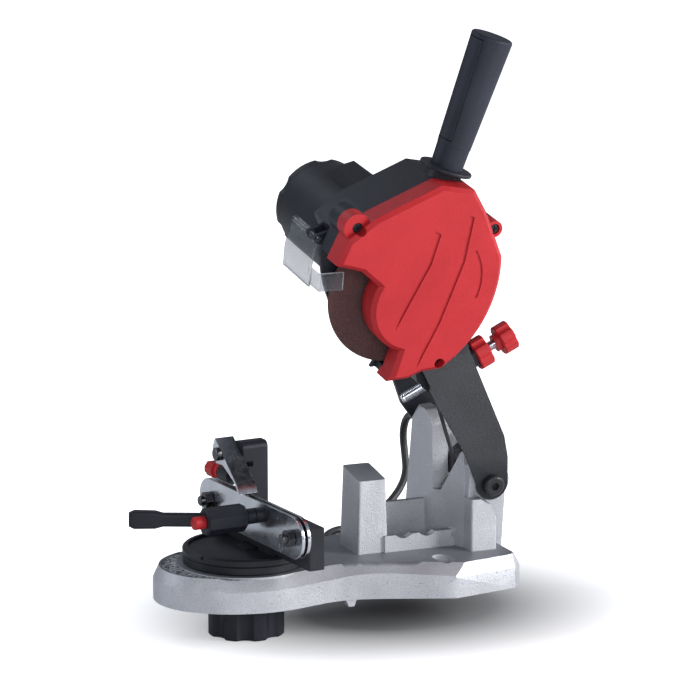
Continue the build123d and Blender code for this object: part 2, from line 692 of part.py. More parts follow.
def wheel_cover():
    """Deep moulded cover with a bevelled face, three screw bosses and two slash grooves."""
    face = cover_face()
    body = across(face, -COVER_DEPTH, 0)
    front = body.faces().sort_by(Axis.Y)[0]
    body = chamfer(front.edges(), COVER_BEVEL)
    inner = across(offset(face, amount=-COVER_WALL), -COVER_DEPTH + COVER_WALL + 0.6, 1)
    for x, z, radius in COVER_BOSSES:
        body += across(disc_at(x, z, radius), -14, 0)
        inner -= across(disc_at(x, z, 5.2), -COVER_DEPTH, 1)
    body -= inner
    body -= across(disc_at(SPINDLE_X, SPINDLE_Z, DISC_RADIUS + 2), -2, 1) & across(offset(face, amount=3), -2, 1)
    for x, z, radius in COVER_BOSSES:
        body -= across(disc_at(x, z, 2.3), -40, 1)
        body -= across(disc_at(x, z, 4.2), -40, -10)
    body -= slash([(128.5, 266), (133, 263), (127, 240), (101, 188), (116, 236)], 1.2)
    body -= slash([(155.5, 277), (159.5, 275), (154.5, 240), (138, 192), (121, 156), (140, 232)], 1.2)
    curve = ThreePointArc((163, 248), (169, 231), (166, 210))
    arrow = across(trace(curve, line_width=1.8), -COVER_DEPTH - 1, -COVER_DEPTH + 1.0)
    return body - arrow


def cover_screws():
    """Three pan-head screws in the cover's bosses."""
    screws = []
    for x, z, radius in COVER_BOSSES:
        head = across(disc_at(x, z, 3.9), -13.0, -10)
        head = fillet(head.edges().group_by(Axis.Y)[0], 1.0)
        shank = across(disc_at(x, z, 2.0), -10.5, 10.5)
        slot = across(Pos(x, z) * (Rectangle(4.6, 1.0) + Rectangle(1.0, 4.6)), -14, -11.8)
        screws.append(head + shank - slot)
    return screws


# ---------------------------------------------------------------- drive
def motor_plate():
    """Plate that closes the belt chamber and carries the rear spindle and front motor bearings."""
    face = offset(chamber_face(), amount=-0.4) + disc_at(MOTOR_X, MOTOR_Z, MOTOR_RADIUS - 0.5)
    plate = across(face, CHAMBER_BACK, MOTOR_PLATE_BACK)
    plate -= across(disc_at(SPINDLE_X, SPINDLE_Z, BEARING_RADIUS), CHAMBER_BACK - 1, CHAMBER_BACK + BEARING_WIDTH)
    plate -= across(disc_at(MOTOR_X, MOTOR_Z, BEARING_RADIUS), MOTOR_PLATE_BACK - BEARING_WIDTH, MOTOR_PLATE_BACK + 1)
    return plate - across(disc_at(MOTOR_X, MOTOR_Z, MOTOR_SHAFT_RADIUS + 1), CHAMBER_BACK - 1, MOTOR_PLATE_BACK)


def spindle_bearings():
    front = TRAY_CAVITY + 1
    return [
        ring(SPINDLE_X, SPINDLE_Z, BEARING_RADIUS, SPINDLE_RADIUS + RUN_GAP, front, front + BEARING_WIDTH),
        ring(SPINDLE_X, SPINDLE_Z, BEARING_RADIUS, SPINDLE_RADIUS + RUN_GAP, CHAMBER_BACK, CHAMBER_BACK + BEARING_WIDTH),
    ]


def motor_bearings():
    inner = MOTOR_SHAFT_RADIUS + RUN_GAP
    start = MOTOR_PLATE_BACK - BEARING_WIDTH
    rear = MOTOR_BACK - BEARING_WIDTH
    return [
        ring(MOTOR_X, MOTOR_Z, BEARING_RADIUS, inner, start, MOTOR_PLATE_BACK),
        ring(MOTOR_X, MOTOR_Z, BEARING_RADIUS, inner, rear, MOTOR_BACK),
    ]


def motor_housing():
    """Plastic barrel round the motor, closed at the back by a bearing wall."""
    barrel = across(disc_at(MOTOR_X, MOTOR_Z, MOTOR_RADIUS), MOTOR_PLATE_BACK, MOTOR_BACK)
    barrel -= across(disc_at(MOTOR_X, MOTOR_Z, MOTOR_RADIUS - MOTOR_WALL), MOTOR_PLATE_BACK - 1, MOTOR_BACK - 4)
    barrel += across(disc_at(MOTOR_X, MOTOR_Z, BEARING_RADIUS + 3), MOTOR_BACK - BEARING_WIDTH - 2, MOTOR_BACK)
    barrel -= across(disc_at(MOTOR_X, MOTOR_Z, BEARING_RADIUS), MOTOR_BACK - BEARING_WIDTH, MOTOR_BACK + 1)
    barrel -= across(disc_at(MOTOR_X, MOTOR_Z, MOTOR_SHAFT_RADIUS + 1), MOTOR_BACK - 20, MOTOR_BACK)
    for index in range(6):
        angle = math.radians(60 * index)
        vent = disc_at(MOTOR_X + 25 * math.cos(angle), MOTOR_Z + 25 * math.sin(angle), 4.0)
        barrel -= across(vent, MOTOR_BACK - 10, MOTOR_BACK + 1)
    return barrel


def terminal_box():
    """Slant-ended box on top of the barrel, over the lead's terminals."""
    shape = outline([(95, 259), (101, 277.5), (115, 281), (137, 265), (140, 253), (124, 247)])
    box_ = across(shape, 56, 112)
    box_ = chamfer(box_.edges().group_by(Axis.Y)[-1], 3.0)
    return box_ - across(disc_at(MOTOR_X, MOTOR_Z, MOTOR_RADIUS), 40, 160)


def motor_end_cap():
    """Domed cap with a scalloped rim and vents."""
    face = Circle(MOTOR_RADIUS)
    for index in range(6):
        face -= Rot(0, 0, 60 * index + 30) * Pos(MOTOR_RADIUS + 16, 0) * Circle(18)
    cap = across(Pos(MOTOR_X, MOTOR_Z) * face, MOTOR_BACK, END_CAP_BACK)
    cap = chamfer(cap.edges().group_by(Axis.Y)[-1], 4.5)
    cap -= across(disc_at(MOTOR_X, MOTOR_Z, MOTOR_RADIUS - 9), MOTOR_BACK - 1, END_CAP_BACK - 3)
    for index in range(-2, 3):
        cap -= across(Pos(MOTOR_X, MOTOR_Z + 8 * index) * SlotOverall(34 - 5 * abs(index), 3), MOTOR_BACK, END_CAP_BACK + 1)
    return cap


def motor_stator():
    """Field magnets in their steel ring."""
    outer = MOTOR_RADIUS - MOTOR_WALL
    body = ring(MOTOR_X, MOTOR_Z, outer, outer - 3, 58, 110)
    for sign in (1, -1):
        shell = disc_at(0, 0, outer - 3) - disc_at(0, 0, 24.6)
        shell &= Pos(0, sign * 30) * Rectangle(44, 44)
        body += across(Pos(MOTOR_X, MOTOR_Z) * shell, 60, 108)
    return body


def motor_rotor():
    """Armature, commutator and shaft."""
    shaft = rod((MOTOR_X, 24, MOTOR_Z), (MOTOR_X, MOTOR_BACK - 0.5, MOTOR_Z), MOTOR_SHAFT_RADIUS)
    core = Circle(24.0)
    for index in range(12):
        core -= Rot(0, 0, 30 * index) * Pos(23, 0) * Rectangle(5, 2.4)
    stack = across(Pos(MOTOR_X, MOTOR_Z) * core, 64, 108)
    commutator = rod((MOTOR_X, 110, MOTOR_Z), (MOTOR_X, 124, MOTOR_Z), 11)
    neck = rod((MOTOR_X, 107, MOTOR_Z), (MOTOR_X, 111, MOTOR_Z), 8)
    return shaft + stack + commutator + neck


def brush_holders():
    """Two brush boxes that reach in from the barrel's wall."""
    holders = []
    inner = 11 + FLAT_GAP
    outer = MOTOR_RADIUS - MOTOR_WALL - 0.5
    for sign in (1, -1):
        x = sorted((MOTOR_X + sign * inner, MOTOR_X + sign * outer))
        holders.append(block(x, (112, 123), (MOTOR_Z - 5, MOTOR_Z + 5)))
    return holders


def pulley(x, z, radius, bore):
    """Ribbed belt pulley with side flanges."""
    start, end = PULLEY_Y
    body = across(disc_at(x, z, radius), start, end)
    for y in range(int(start) + 3, int(end) - 1, 3):
        body -= across(disc_at(x, z, radius + 1) - disc_at(x, z, radius - 0.8), y - 0.4, y + 0.4)
    for y in (start - 1.5, end):
        body += across(disc_at(x, z, radius + 1.5), y, y + 1.5)
    return body - across(disc_at(x, z, bore), start - 5, end + 5)


def drive_belt():
    """Flat closed belt round both pulleys, clear of them by a working gap."""
    def hull(extra):
        circles = [
            disc_at(SPINDLE_X, SPINDLE_Z, SPINDLE_PULLEY_RADIUS + extra),
            disc_at(MOTOR_X, MOTOR_Z, MOTOR_PULLEY_RADIUS + extra),
        ]
        return make_hull(circles[0].edges() + circles[1].edges())
    return across(hull(FLAT_GAP + BELT_THICK) - hull(FLAT_GAP), PULLEY_Y[0] + 1, PULLEY_Y[1] - 1)


def disc_spindle():
    """Stepped spindle; its shoulder seats the inner flange."""
    body = rod((SPINDLE_X, -9, SPINDLE_Z), (SPINDLE_X, CHAMBER_BACK + BEARING_WIDTH - 0.5, SPINDLE_Z), SPINDLE_RADIUS)
    return chamfer(body.edges().group_by(Axis.Y)[0], 1.0)


def disc_flanges():
    """Clamping flanges each side of the disc."""
    back = DISC_Y + DISC_THICK / 2
    front = DISC_Y - DISC_THICK / 2
    inner = ring(SPINDLE_X, SPINDLE_Z, 16, SPINDLE_RADIUS, back, TRAY_CAVITY - 0.5)
    pilot = ring(SPINDLE_X, SPINDLE_Z, DISC_BORE, SPINDLE_RADIUS, front + 0.4, back)
    outer = ring(SPINDLE_X, SPINDLE_Z, 16, SPINDLE_RADIUS, front - 3, front)
    return [inner + pilot, fillet(outer.edges().group_by(Axis.Y)[0], 0.8)]


def disc_nut():
    front = DISC_Y - DISC_THICK / 2 - 3
    shape = Pos(SPINDLE_X, SPINDLE_Z) * (hexagon(19) - Circle(SPINDLE_RADIUS))
    return across(shape, front - 7, front)


def grinding_disc():
    """Profiled disc with a rounded grinding edge."""
    half = DISC_THICK / 2
    section = Plane.XZ * make_face([
        Line((DISC_BORE, -half), (DISC_RADIUS - 1.2, -half)),
        ThreePointArc((DISC_RADIUS - 1.2, -half), (DISC_RADIUS, 0), (DISC_RADIUS - 1.2, half)),
        Line((DISC_RADIUS - 1.2, half), (DISC_BORE, half)),
        Line((DISC_BORE, half), (DISC_BORE, -half)),
    ])
    disc = revolve(section, Axis.Z)
    return Pos(SPINDLE_X, DISC_Y, SPINDLE_Z) * Rot(90, 0, 0) * disc


# ---------------------------------------------------------------- handle and guard
def handle_plane(height):
    lean = math.radians(HANDLE_LEAN)
    direction = (math.sin(lean), 0, math.cos(lean))
    return Plane(origin=handle_point(height), x_dir=(0, -1, 0), z_dir=direction)


def handle_collar():
    body = extrude(handle_plane(0) * (Circle(HANDLE_COLLAR_RADIUS) - Circle(STUD_RADIUS)), amount=HANDLE_COLLAR_THICK)
    return fillet(body.edges().filter_by(GeomType.CIRCLE).sort_by(SortBy.LENGTH)[-2:], 1.2)


def paddle_pocket(clear):
    """Slot in the grip's front left side that holds the switch paddle."""
    low = HANDLE_COLLAR_THICK + HANDLE_NECK_LENGTH + 4 - clear
    high = HANDLE_COLLAR_THICK + HANDLE_NECK_LENGTH + HANDLE_GRIP_LENGTH - 4 + clear
    half = PADDLE_WIDTH / 2 + clear
    shape = Pos(20, 0) * Rectangle(25 + clear * 2, half * 2)
    return extrude(handle_plane(low) * Rot(0, 0, PADDLE_TURN) * shape, amount=high - low)


def handle_solid():
    low = HANDLE_COLLAR_THICK
    mid = low + HANDLE_NECK_LENGTH
    high = mid + HANDLE_GRIP_LENGTH
    neck = loft([handle_plane(low) * Circle(HANDLE_NECK_RADIUS), handle_plane(mid) * Circle(HANDLE_NECK_RADIUS + 0.4)])
    grip = loft([handle_plane(mid) * Circle(HANDLE_GRIP_LOW), handle_plane(high) * Circle(HANDLE_GRIP_HIGH)])
    return neck, grip


def handle_grip():
    """Tapered grip, bored for the stud, with a pocket for the paddle."""
    neck, grip = handle_solid()
    grip = fillet(grip.edges().filter_by(GeomType.CIRCLE).sort_by(SortBy.LENGTH)[-1:], 2.0)
    body = neck + grip - paddle_pocket(FLAT_GAP)
    return body - rod(handle_point(-1), handle_point(HANDLE_NECK_LENGTH), STUD_RADIUS)


def switch_paddle():
    """Long paddle that is squeezed to run the motor."""
    neck, grip = handle_solid()
    core = extrude(handle_plane(0) * Circle(HANDLE_GRIP_LOW - PADDLE_TRAVEL), amount=150)
    return (grip & paddle_pocket(-FLAT_GAP / 2)) - core


def handle_stud():
    return rod(handle_point(-16.5), handle_point(HANDLE_NECK_LENGTH - 0.5), STUD_RADIUS)


def guard_lugs():
    """Two ears on the belt chamber that carry the guard's hinge pin."""
    x, z = GUARD_HINGE
    shape = outline([(x - 3, z - 2), (x + 16, z - 9), (x + 14, z + 8), (x, z + 3.4)]) + disc_at(x, z, 3.6)
    ears = [across(shape, y, y + 4) for y in GUARD_LUG_Y]
    return ears[0] + ears[1]


def guard_pin():
    x, z = GUARD_HINGE
    return rod((x, GUARD_Y[0] - 1, z), (x, GUARD_Y[1] + 1, z), GUARD_PIN_RADIUS)


def spark_guard():
    """Clear bent plate beside the motor, with a small window tab over the disc."""
    x, z = GUARD_HINGE
    y_from, y_to = GUARD_Y
    t = GUARD_THICK
    sheet = outline([
        (x - 3, z), (x - 4.5, z - 4), (x - 7.5, z - 20), (x - 8, z - 36),
        (x - 8 + t, z - 36), (x - 7.5 + t, z - 20), (x - 4.5 + t, z - 4), (x, z),
    ])
    body = across(sheet, y_from, y_to)
    knuckle = across(disc_at(x, z, 3.2), y_from, y_to)
    for y in GUARD_LUG_Y:
        knuckle -= across(disc_at(x, z, 5) + Pos(x + 3, z) * Rectangle(6, 10), y - FLAT_GAP, y + 4 + FLAT_GAP)
        body -= across(disc_at(x, z, 3.6 + FLAT_GAP), y - FLAT_GAP, y + 4 + FLAT_GAP)
    arm = block((x - 8, x - 8 + t), (-TAB_DEPTH - t, y_from + 1), (z - 33, z - 20))
    tab = block((x - 8, x + TAB_REACH), (-TAB_DEPTH - t, -TAB_DEPTH), (z - 33, z - 19))
    body += knuckle + arm + tab
    return body - across(disc_at(x, z, GUARD_PIN_RADIUS + RUN_GAP), y_from - 2, y_to + 2)


# ---------------------------------------------------------------- turntable
def turntable():
    """Dished disc with a rolled rim and a shallow groove round its side."""
    h = TABLE_HEIGHT
    r = TABLE_RADIUS
    face = Plane.XZ * outline([
        (STUD_RADIUS, FLAT_GAP), (r - 1, FLAT_GAP), (r, 1.3), (r, 6.2), (r - 0.8, 6.8), (r, 7.4), (r, h - 1.4),
        (r - 1.4, h), (r - 4.2, h), (r - 4.9, TABLE_FLOOR), (STUD_RADIUS, TABLE_FLOOR),
    ])
    body = revolve(face, Axis.Z)
    notch = Rot(0, 0, 200) * Pos(r, 0, h) * Box(3, 2.2, 6)
    return body - notch


def turntable_stud():
    """Stud from the turntable down through the base."""
    stud = rod((0, 0, CLAMP_KNOB_BOTTOM + 6), (0, 0, TABLE_FLOOR), STUD_RADIUS)
    head = upward(hexagon(15), TABLE_FLOOR, TABLE_FLOOR + 2)
    return stud + head


def clamp_knob():
    """Eight-sided hand knob under the base."""
    height = CLAMP_KNOB_TOP - CLAMP_KNOB_BOTTOM
    body = star_knob(CLAMP_KNOB_RADIUS, height, CLAMP_KNOB_LOBES, STUD_RADIUS + RUN_GAP, 9.0)
    body = Pos(0, 0, CLAMP_KNOB_BOTTOM) * body
    collar = upward(Circle(17) - Circle(STUD_RADIUS + RUN_GAP), CLAMP_KNOB_TOP, -BASE_HEIGHT - FLAT_GAP)
    return body + collar


def vise_support():
    """Upright bar that carries the rails."""
    body = block(SUPPORT_X, SUPPORT_Y, SUPPORT_Z)
    body = fillet(body.edges().filter_by(Axis.Z), 1.5)
    for foot in ((-40, -12), (12, 40)):
        body += block(SUPPORT_X, foot, (TABLE_FLOOR, SUPPORT_Z[0] + 1))
    body -= rail_holes(RAIL_BOLT_RADIUS)
    relief = block((SUPPORT_X[0] + 4, SUPPORT_X[1] + 1), (-52, -28), (SUPPORT_Z[0] + 7, SUPPORT_Z[1] - 7))
    return body - relief


def rail_holes(radius):
    """Bolt and spindle holes through rails and support."""
    holes = rod((-30, RAIL_BOLT_Y[0], RAIL_BOLT_Z), (40, RAIL_BOLT_Y[0], RAIL_BOLT_Z), radius)
    holes += rod((-30, RAIL_BOLT_Y[1], RAIL_BOLT_Z), (40, RAIL_BOLT_Y[1], RAIL_BOLT_Z), radius)
    return holes + rod((-30, CLAMP_Y, CLAMP_Z), (40, CLAMP_Y, CLAMP_Z), radius)


def rail(x_from, hole):
    """Pressed steel rail with round ends."""
    length = RAIL_FAR_END - RAIL_NEAR_END
    height = RAIL_TOP - RAIL_BOTTOM
    face = Pos((RAIL_FAR_END + RAIL_NEAR_END) / 2, (RAIL_TOP + RAIL_BOTTOM) / 2) * SlotOverall(length, height)
    return along_x(face, x_from, x_from + RAIL_THICK) - rail_holes(hole)


def rail_bolts():
    """Two guide bolts with nuts on the operator's side."""
    bolts = []
    nut_face = -CHAIN_GAP / 2 - RAIL_THICK - FLAT_GAP
    for y in RAIL_BOLT_Y:
        bolt = rod((nut_face - 10, y, RAIL_BOLT_Z), (SUPPORT_X[1], y, RAIL_BOLT_Z), RAIL_BOLT_RADIUS)
        bolt = chamfer(bolt.edges().group_by(Axis.X)[0], 0.8)
        nut = along_x(Pos(y, RAIL_BOLT_Z) * hexagon(11.5), nut_face - 6, nut_face)
        bolts.append(bolt + nut)
    return bolts


def clamp_spindle():
    return rod((HUB_X[0] + 6, CLAMP_Y, CLAMP_Z), (SUPPORT_X[1], CLAMP_Y, CLAMP_Z), RAIL_BOLT_RADIUS)


def clamp_lever():
    """Octagonal hub with a flared hand lever."""
    eight = Pos(CLAMP_Y, CLAMP_Z) * RegularPolygon(HUB_FLATS / 2, 8, major_radius=False, rotation=22.5)
    hub = along_x(eight, *HUB_X)
    hub = chamfer(hub.edges().group_by(Axis.X)[0] + hub.edges().group_by(Axis.X)[-1], 1.2)
    neck_end = -CHAIN_GAP / 2 - RAIL_THICK - FLAT_GAP
    neck = rod((HUB_X[1] - 1, CLAMP_Y, CLAMP_Z), (neck_end, CLAMP_Y, CLAMP_Z), 6.0)
    swing = math.radians(LEVER_SWING)
    direction = (math.cos(swing), math.sin(swing), 0)
    start = (HUB_X[0] + 9, CLAMP_Y + 4, CLAMP_Z)

    def station(distance, width, height):
        origin = tuple(start[i] + direction[i] * distance for i in range(3))
        return Plane(origin=origin, x_dir=(0, 0, 1), z_dir=direction) * RectangleRounded(height, width, 2.2)
    flare = LEVER_LENGTH - LEVER_FLARE
    arm = loft([station(0, 7, 10.5), station(flare, 7, 10.5)])
    arm += loft([station(flare, 7, 10.5), station(flare + 6, 8.5, 13.5)])
    arm += loft([station(flare + 6, 8.5, 13.5), station(LEVER_LENGTH - 4, 9, 14)])
    arm += loft([station(LEVER_LENGTH - 4, 9, 14), station(LEVER_LENGTH, 6, 11)])
    body = hub + neck + arm
    bore = rod((HUB_X[0] + 2, CLAMP_Y, CLAMP_Z), (0, CLAMP_Y, CLAMP_Z), RAIL_BOLT_RADIUS + RUN_GAP)
    seat = rod((HUB_X[0] - 1, CLAMP_Y, CLAMP_Z), (HUB_X[0] + 4, CLAMP_Y, CLAMP_Z), BUTTON_RADIUS + RUN_GAP)
    clear = rod((HUB_X[0] - 20, CLAMP_Y, CLAMP_Z), (HUB_X[0], CLAMP_Y, CLAMP_Z), BUTTON_RADIUS + 0.6)
    return body - bore - seat - clear


def lever_button():
    """Press button that frees the lever's ratchet."""
    low = HUB_X[0] - BUTTON_LENGTH
    body = rod((low, CLAMP_Y, CLAMP_Z), (HUB_X[0] + 4 - BUTTON_TRAVEL - 0.9, CLAMP_Y, CLAMP_Z), BUTTON_RADIUS)
    return fillet(body.edges().group_by(Axis.X)[0], 1.2)


# ---------------------------------------------------------------- chain stop
def pawl_bracket():
    """Moulded bracket: upright, top arm for the pawl pin, side arm for the feed screw."""
    x0, x1 = BRACKET_X
    y0, y1 = BRACKET_Y
    upright = block((x0, x1), (y0, y1), (30, BRACKET_TOP))
    arm_start = PAWL_WIDTH / 2 + 0.6
    top = block((arm_start, x1), (y0, y1), (PAWL_PIVOT[1] - 7, BRACKET_TOP))
    body = upright + top
    body = fillet(body.edges().filter_by(Axis.X).group_by(Axis.Z)[-1], 5.0)
    side = block((0, x0 + 1), (y0, y1), (FEED_Z - 6, FEED_Z + 6))
    collar = rod((0, y0, FEED_Z), (0, y1, FEED_Z), 6.7)
    body += side + collar
    pin = rod((0, *PAWL_PIVOT), (x1 + 1, *PAWL_PIVOT), PAWL_PIN_RADIUS)
    return body - pin - rod((0, 0, FEED_Z), (0, 80, FEED_Z), FEED_RADIUS + RUN_GAP)


def pawl_pin():
    half = PAWL_WIDTH / 2
    pin = rod((-half - FLAT_GAP, *PAWL_PIVOT), (BRACKET_X[1], *PAWL_PIVOT), PAWL_PIN_RADIUS)
    head = rod((-half - FLAT_GAP - 4, *PAWL_PIVOT), (-half - FLAT_GAP, *PAWL_PIVOT), 5.2)
    return pin + fillet(head.edges().group_by(Axis.X)[0], 1.2)


def chain_pawl():
    """Bent strap that drops on the chain, with an ear each side for the pin."""
    half = PAWL_WIDTH / 2
    t = PAWL_THICK
    strap = outline([
        (-5, RAIL_TOP + 0.6), (-3, RAIL_TOP + 0.6), (1.4, 59.2), (37.2, 88.2), (35.9, 89.8), (-0.4, 60.4),
    ])
    ear = outline([(5, 62.4), (37, 88.2), (40, 82), (34, 70.5), (23, 71)])
    body = along_x(strap, -half, half)
    body += along_x(ear, -half, -half + t) + along_x(ear, half - t, half)
    return body - rod((-half - 1, *PAWL_PIVOT), (half + 1, *PAWL_PIVOT), PAWL_PIN_RADIUS + RUN_GAP)


def feed_screw():
    screw = rod((0, FEED_TIP, FEED_Z), (0, FEED_KNOB_Y[0] + 8, FEED_Z), FEED_RADIUS)
    return chamfer(screw.edges().group_by(Axis.Y)[0], 0.8)


def feed_knob():
    """Winged knob on the feed screw's end."""
    y0, y1 = FEED_KNOB_Y
    reach = FEED_Z - RAIL_TOP - 0.8
    wing = outline([
        (-reach, -2), (-5.6, -5.6), (5.6, -5.6), (reach, -2), (reach, 2), (5.6, 5.6), (-5.6, 5.6), (-reach, 2),
    ])
    body = across(Pos(0, FEED_Z) * wing, y0 + 5, y1)
    body += rod((0, y0, FEED_Z), (0, y0 + 6, FEED_Z), 6.5)
    body = chamfer(body.edges().group_by(Axis.Y)[-1], 1.5)
    return body - rod((0, y0 - 1, FEED_Z), (0, y0 + 8 + FLAT_GAP, FEED_Z), FEED_RADIUS + RUN_GAP)


# ---------------------------------------------------------------- mains lead
def cord_boot():
    """Rubber boot over the pivot nut, tapering round the lead."""
    start = ARM_FAR_FACE + FLAT_GAP
    nut_end = start + PIVOT_NUT_HEIGHT
    end = start + BOOT_LENGTH - 0.6
    cup = rod((PIVOT_X, start, PIVOT_Z), (PIVOT_X, nut_end + 2, PIVOT_Z), BOOT_RADIUS)
    cup -= across(Pos(PIVOT_X, PIVOT_Z) * hexagon(PIVOT_NUT_FLATS), start - 1, nut_end)
    near = Plane(origin=(PIVOT_X, nut_end + 2, PIVOT_Z), z_dir=(0, 1, 0)) * Circle(BOOT_RADIUS - 3)
    far = Plane(origin=(PIVOT_X, end, PIVOT_Z), z_dir=(0, 1, 0)) * Circle(CORD_DIAMETER / 2 + 1.4)
    return cup + loft([near, far])


def cord_radii():
    """Largest arc that each corner of the route has room for."""
    points = [Vector(*p) for p in CORD_ROUTE]
    radii = []
    for before, here, after in zip(points, points[1:], points[2:]):
        first = here - before
        second = after - here
        half_turn = math.radians(first.get_angle(second)) / 2
        radii.append(0.45 * min(first.length, second.length) / math.tan(half_turn))
    return radii


def power_cord():
    radii = cord_radii()
    path = FilletPolyline(*CORD_ROUTE, radius=radii)
    section = Plane(origin=path @ 0, z_dir=path % 0) * Circle(CORD_DIAMETER / 2)
    cord = sweep(section, path=path)
    expected = math.pi * CORD_DIAMETER ** 2 / 4 * path.length
    print("cord radii", [round(r, 1) for r in radii])
    print("cord length", round(path.length, 1), "volume ratio", round(cord.volume / expected, 4))
    return cord


def cord_coil():
    """Envelope of the lead's stored turns."""
    x, y = COIL_CENTRE
    body = upward(disc_at(x, y, COIL_OUTER) - disc_at(x, y, COIL_INNER), FLOOR_Z, FLOOR_Z + COIL_HEIGHT)
    return fillet(body.edges(), 2.8)


def cord_plug():
    """Flat two-pin plug lying on the coil."""
    x = COIL_CENTRE[0]
    y = COIL_CENTRE[1] + (COIL_INNER + COIL_OUTER) / 2
    z = FLOOR_Z + COIL_HEIGHT
    shell = loft([
        Plane(origin=(x - 16, y, z + 5), x_dir=(0, 1, 0), z_dir=(1, 0, 0)) * RectangleRounded(13, 10, 3),
        Plane(origin=(x + 19, y, z + 6.8), x_dir=(0, 1, 0), z_dir=(1, 0, 0)) * RectangleRounded(26, 13.6, 4),
    ])
    for side in (-9.2, 9.2):
        shell += rod((x + 18, y + side, z + 6.8), (x + 38, y + side, z + 6.8), 2.0)
    return shell


# ---------------------------------------------------------------- assembly
def build_pieces():
    rail_start = -CHAIN_GAP / 2 - RAIL_THICK
    return {
        "base_casting": (BASE_FRAME, base_casting()),
        "pivot_bolt": (ARM_FRAME, pivot_bolt()),
        "pivot_nut": (ARM_FRAME, pivot_nut()),
        "pivot_spacer": (ARM_FRAME, pivot_spacer()),
        "return_spring": (ARM_FRAME, return_spring()),
        "spring_arm_leg": (ARM_FRAME, spring_arm_leg()),
        "swing_arm": (ARM_FRAME, swing_arm()),
        "pivot_bushes": (ARM_FRAME, pivot_bushes()),
        "limit_bush": (ARM_FRAME, limit_bush()),
        "limit_screw": (ARM_FRAME, limit_screw()),
        "limit_knob": (ARM_FRAME, limit_knob()),
        "lock_knob": (ARM_FRAME, lock_knob()),
        "head_housing": (ARM_FRAME, head_housing()),
        "wheel_cover": (ARM_FRAME, wheel_cover()),
        "cover_screws": (ARM_FRAME, cover_screws()),
        "motor_plate": (ARM_FRAME, motor_plate()),
        "spindle_bearings": (ARM_FRAME, spindle_bearings()),
        "motor_bearings": (ARM_FRAME, motor_bearings()),
        "motor_housing": (ARM_FRAME, motor_housing()),
        "terminal_box": (ARM_FRAME, terminal_box()),
        "motor_end_cap": (ARM_FRAME, motor_end_cap()),
        "motor_stator": (ARM_FRAME, motor_stator()),
        "motor_rotor": (ARM_FRAME, motor_rotor()),
        "brush_holders": (ARM_FRAME, brush_holders()),
        "motor_pulley": (ARM_FRAME, pulley(MOTOR_X, MOTOR_Z, MOTOR_PULLEY_RADIUS, MOTOR_SHAFT_RADIUS)),
        "spindle_pulley": (ARM_FRAME, pulley(SPINDLE_X, SPINDLE_Z, SPINDLE_PULLEY_RADIUS, SPINDLE_RADIUS)),
        "drive_belt": (ARM_FRAME, drive_belt()),
        "disc_spindle": (ARM_FRAME, disc_spindle()),
        "disc_flanges": (ARM_FRAME, disc_flanges()),
        "disc_nut": (ARM_FRAME, disc_nut()),
        "grinding_disc": (ARM_FRAME, grinding_disc()),
        "handle_collar": (ARM_FRAME, handle_collar()),
        "handle_grip": (ARM_FRAME, handle_grip()),
        "handle_stud": (ARM_FRAME, handle_stud()),
        "switch_paddle": (ARM_FRAME, switch_paddle()),
        "guard_pin": (ARM_FRAME, guard_pin()),
        "spark_guard": (ARM_FRAME, spark_guard()),
        "turntable": (VISE_FRAME, turntable()),
        "turntable_stud": (VISE_FRAME, turntable_stud()),
        "clamp_knob": (BASE_FRAME, clamp_knob()),
        "vise_support": (VISE_FRAME, vise_support()),
        "fixed_rail": (VISE_FRAME, rail(CHAIN_GAP / 2, RAIL_BOLT_RADIUS)),
        "moving_rail": (VISE_FRAME, rail(rail_start, RAIL_BOLT_RADIUS + 0.4)),
        "rail_bolts": (VISE_FRAME, rail_bolts()),
        "clamp_spindle": (VISE_FRAME, clamp_spindle()),
        "clamp_lever": (VISE_FRAME, clamp_lever()),
        "lever_button": (VISE_FRAME, lever_button()),
        "pawl_bracket": (VISE_FRAME, pawl_bracket()),
        "pawl_pin": (VISE_FRAME, pawl_pin()),
        "chain_pawl": (VISE_FRAME, chain_pawl()),
        "feed_screw": (VISE_FRAME, feed_screw()),
        "feed_knob": (VISE_FRAME, feed_knob()),
        "cord_boot": (ARM_FRAME, cord_boot()),
        "power_cord": (BASE_FRAME, power_cord()),
        "cord_coil": (BASE_FRAME, cord_coil()),
        "cord_plug": (BASE_FRAME, cord_plug()),
    }


def write_pieces():
    os.makedirs("parts", exist_ok=True)
    for name, (frame, piece) in build_pieces().items():
        solids = piece if isinstance(piece, list) else [piece]
        placed = [solid for item in solids for solid in (PLACE * frame * item).solids()]
        shape = placed[0] if len(placed) == 1 else Compound(children=placed)
        export_step(shape, f"parts/{name}.step")


write_pieces()
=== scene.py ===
# %% [markdown]
# Electric chainsaw sharpener: a cast base with a yoke, a tilting grinding head, a chain vise
# and a mains lead. The solids come from the CAD frame and are fixed. Here they get soft edges,
# threads, a real cord and finishes made from nodes.

# %% load the frame
import bpy
import bmesh
import json
import math
from mathutils import Matrix, Vector


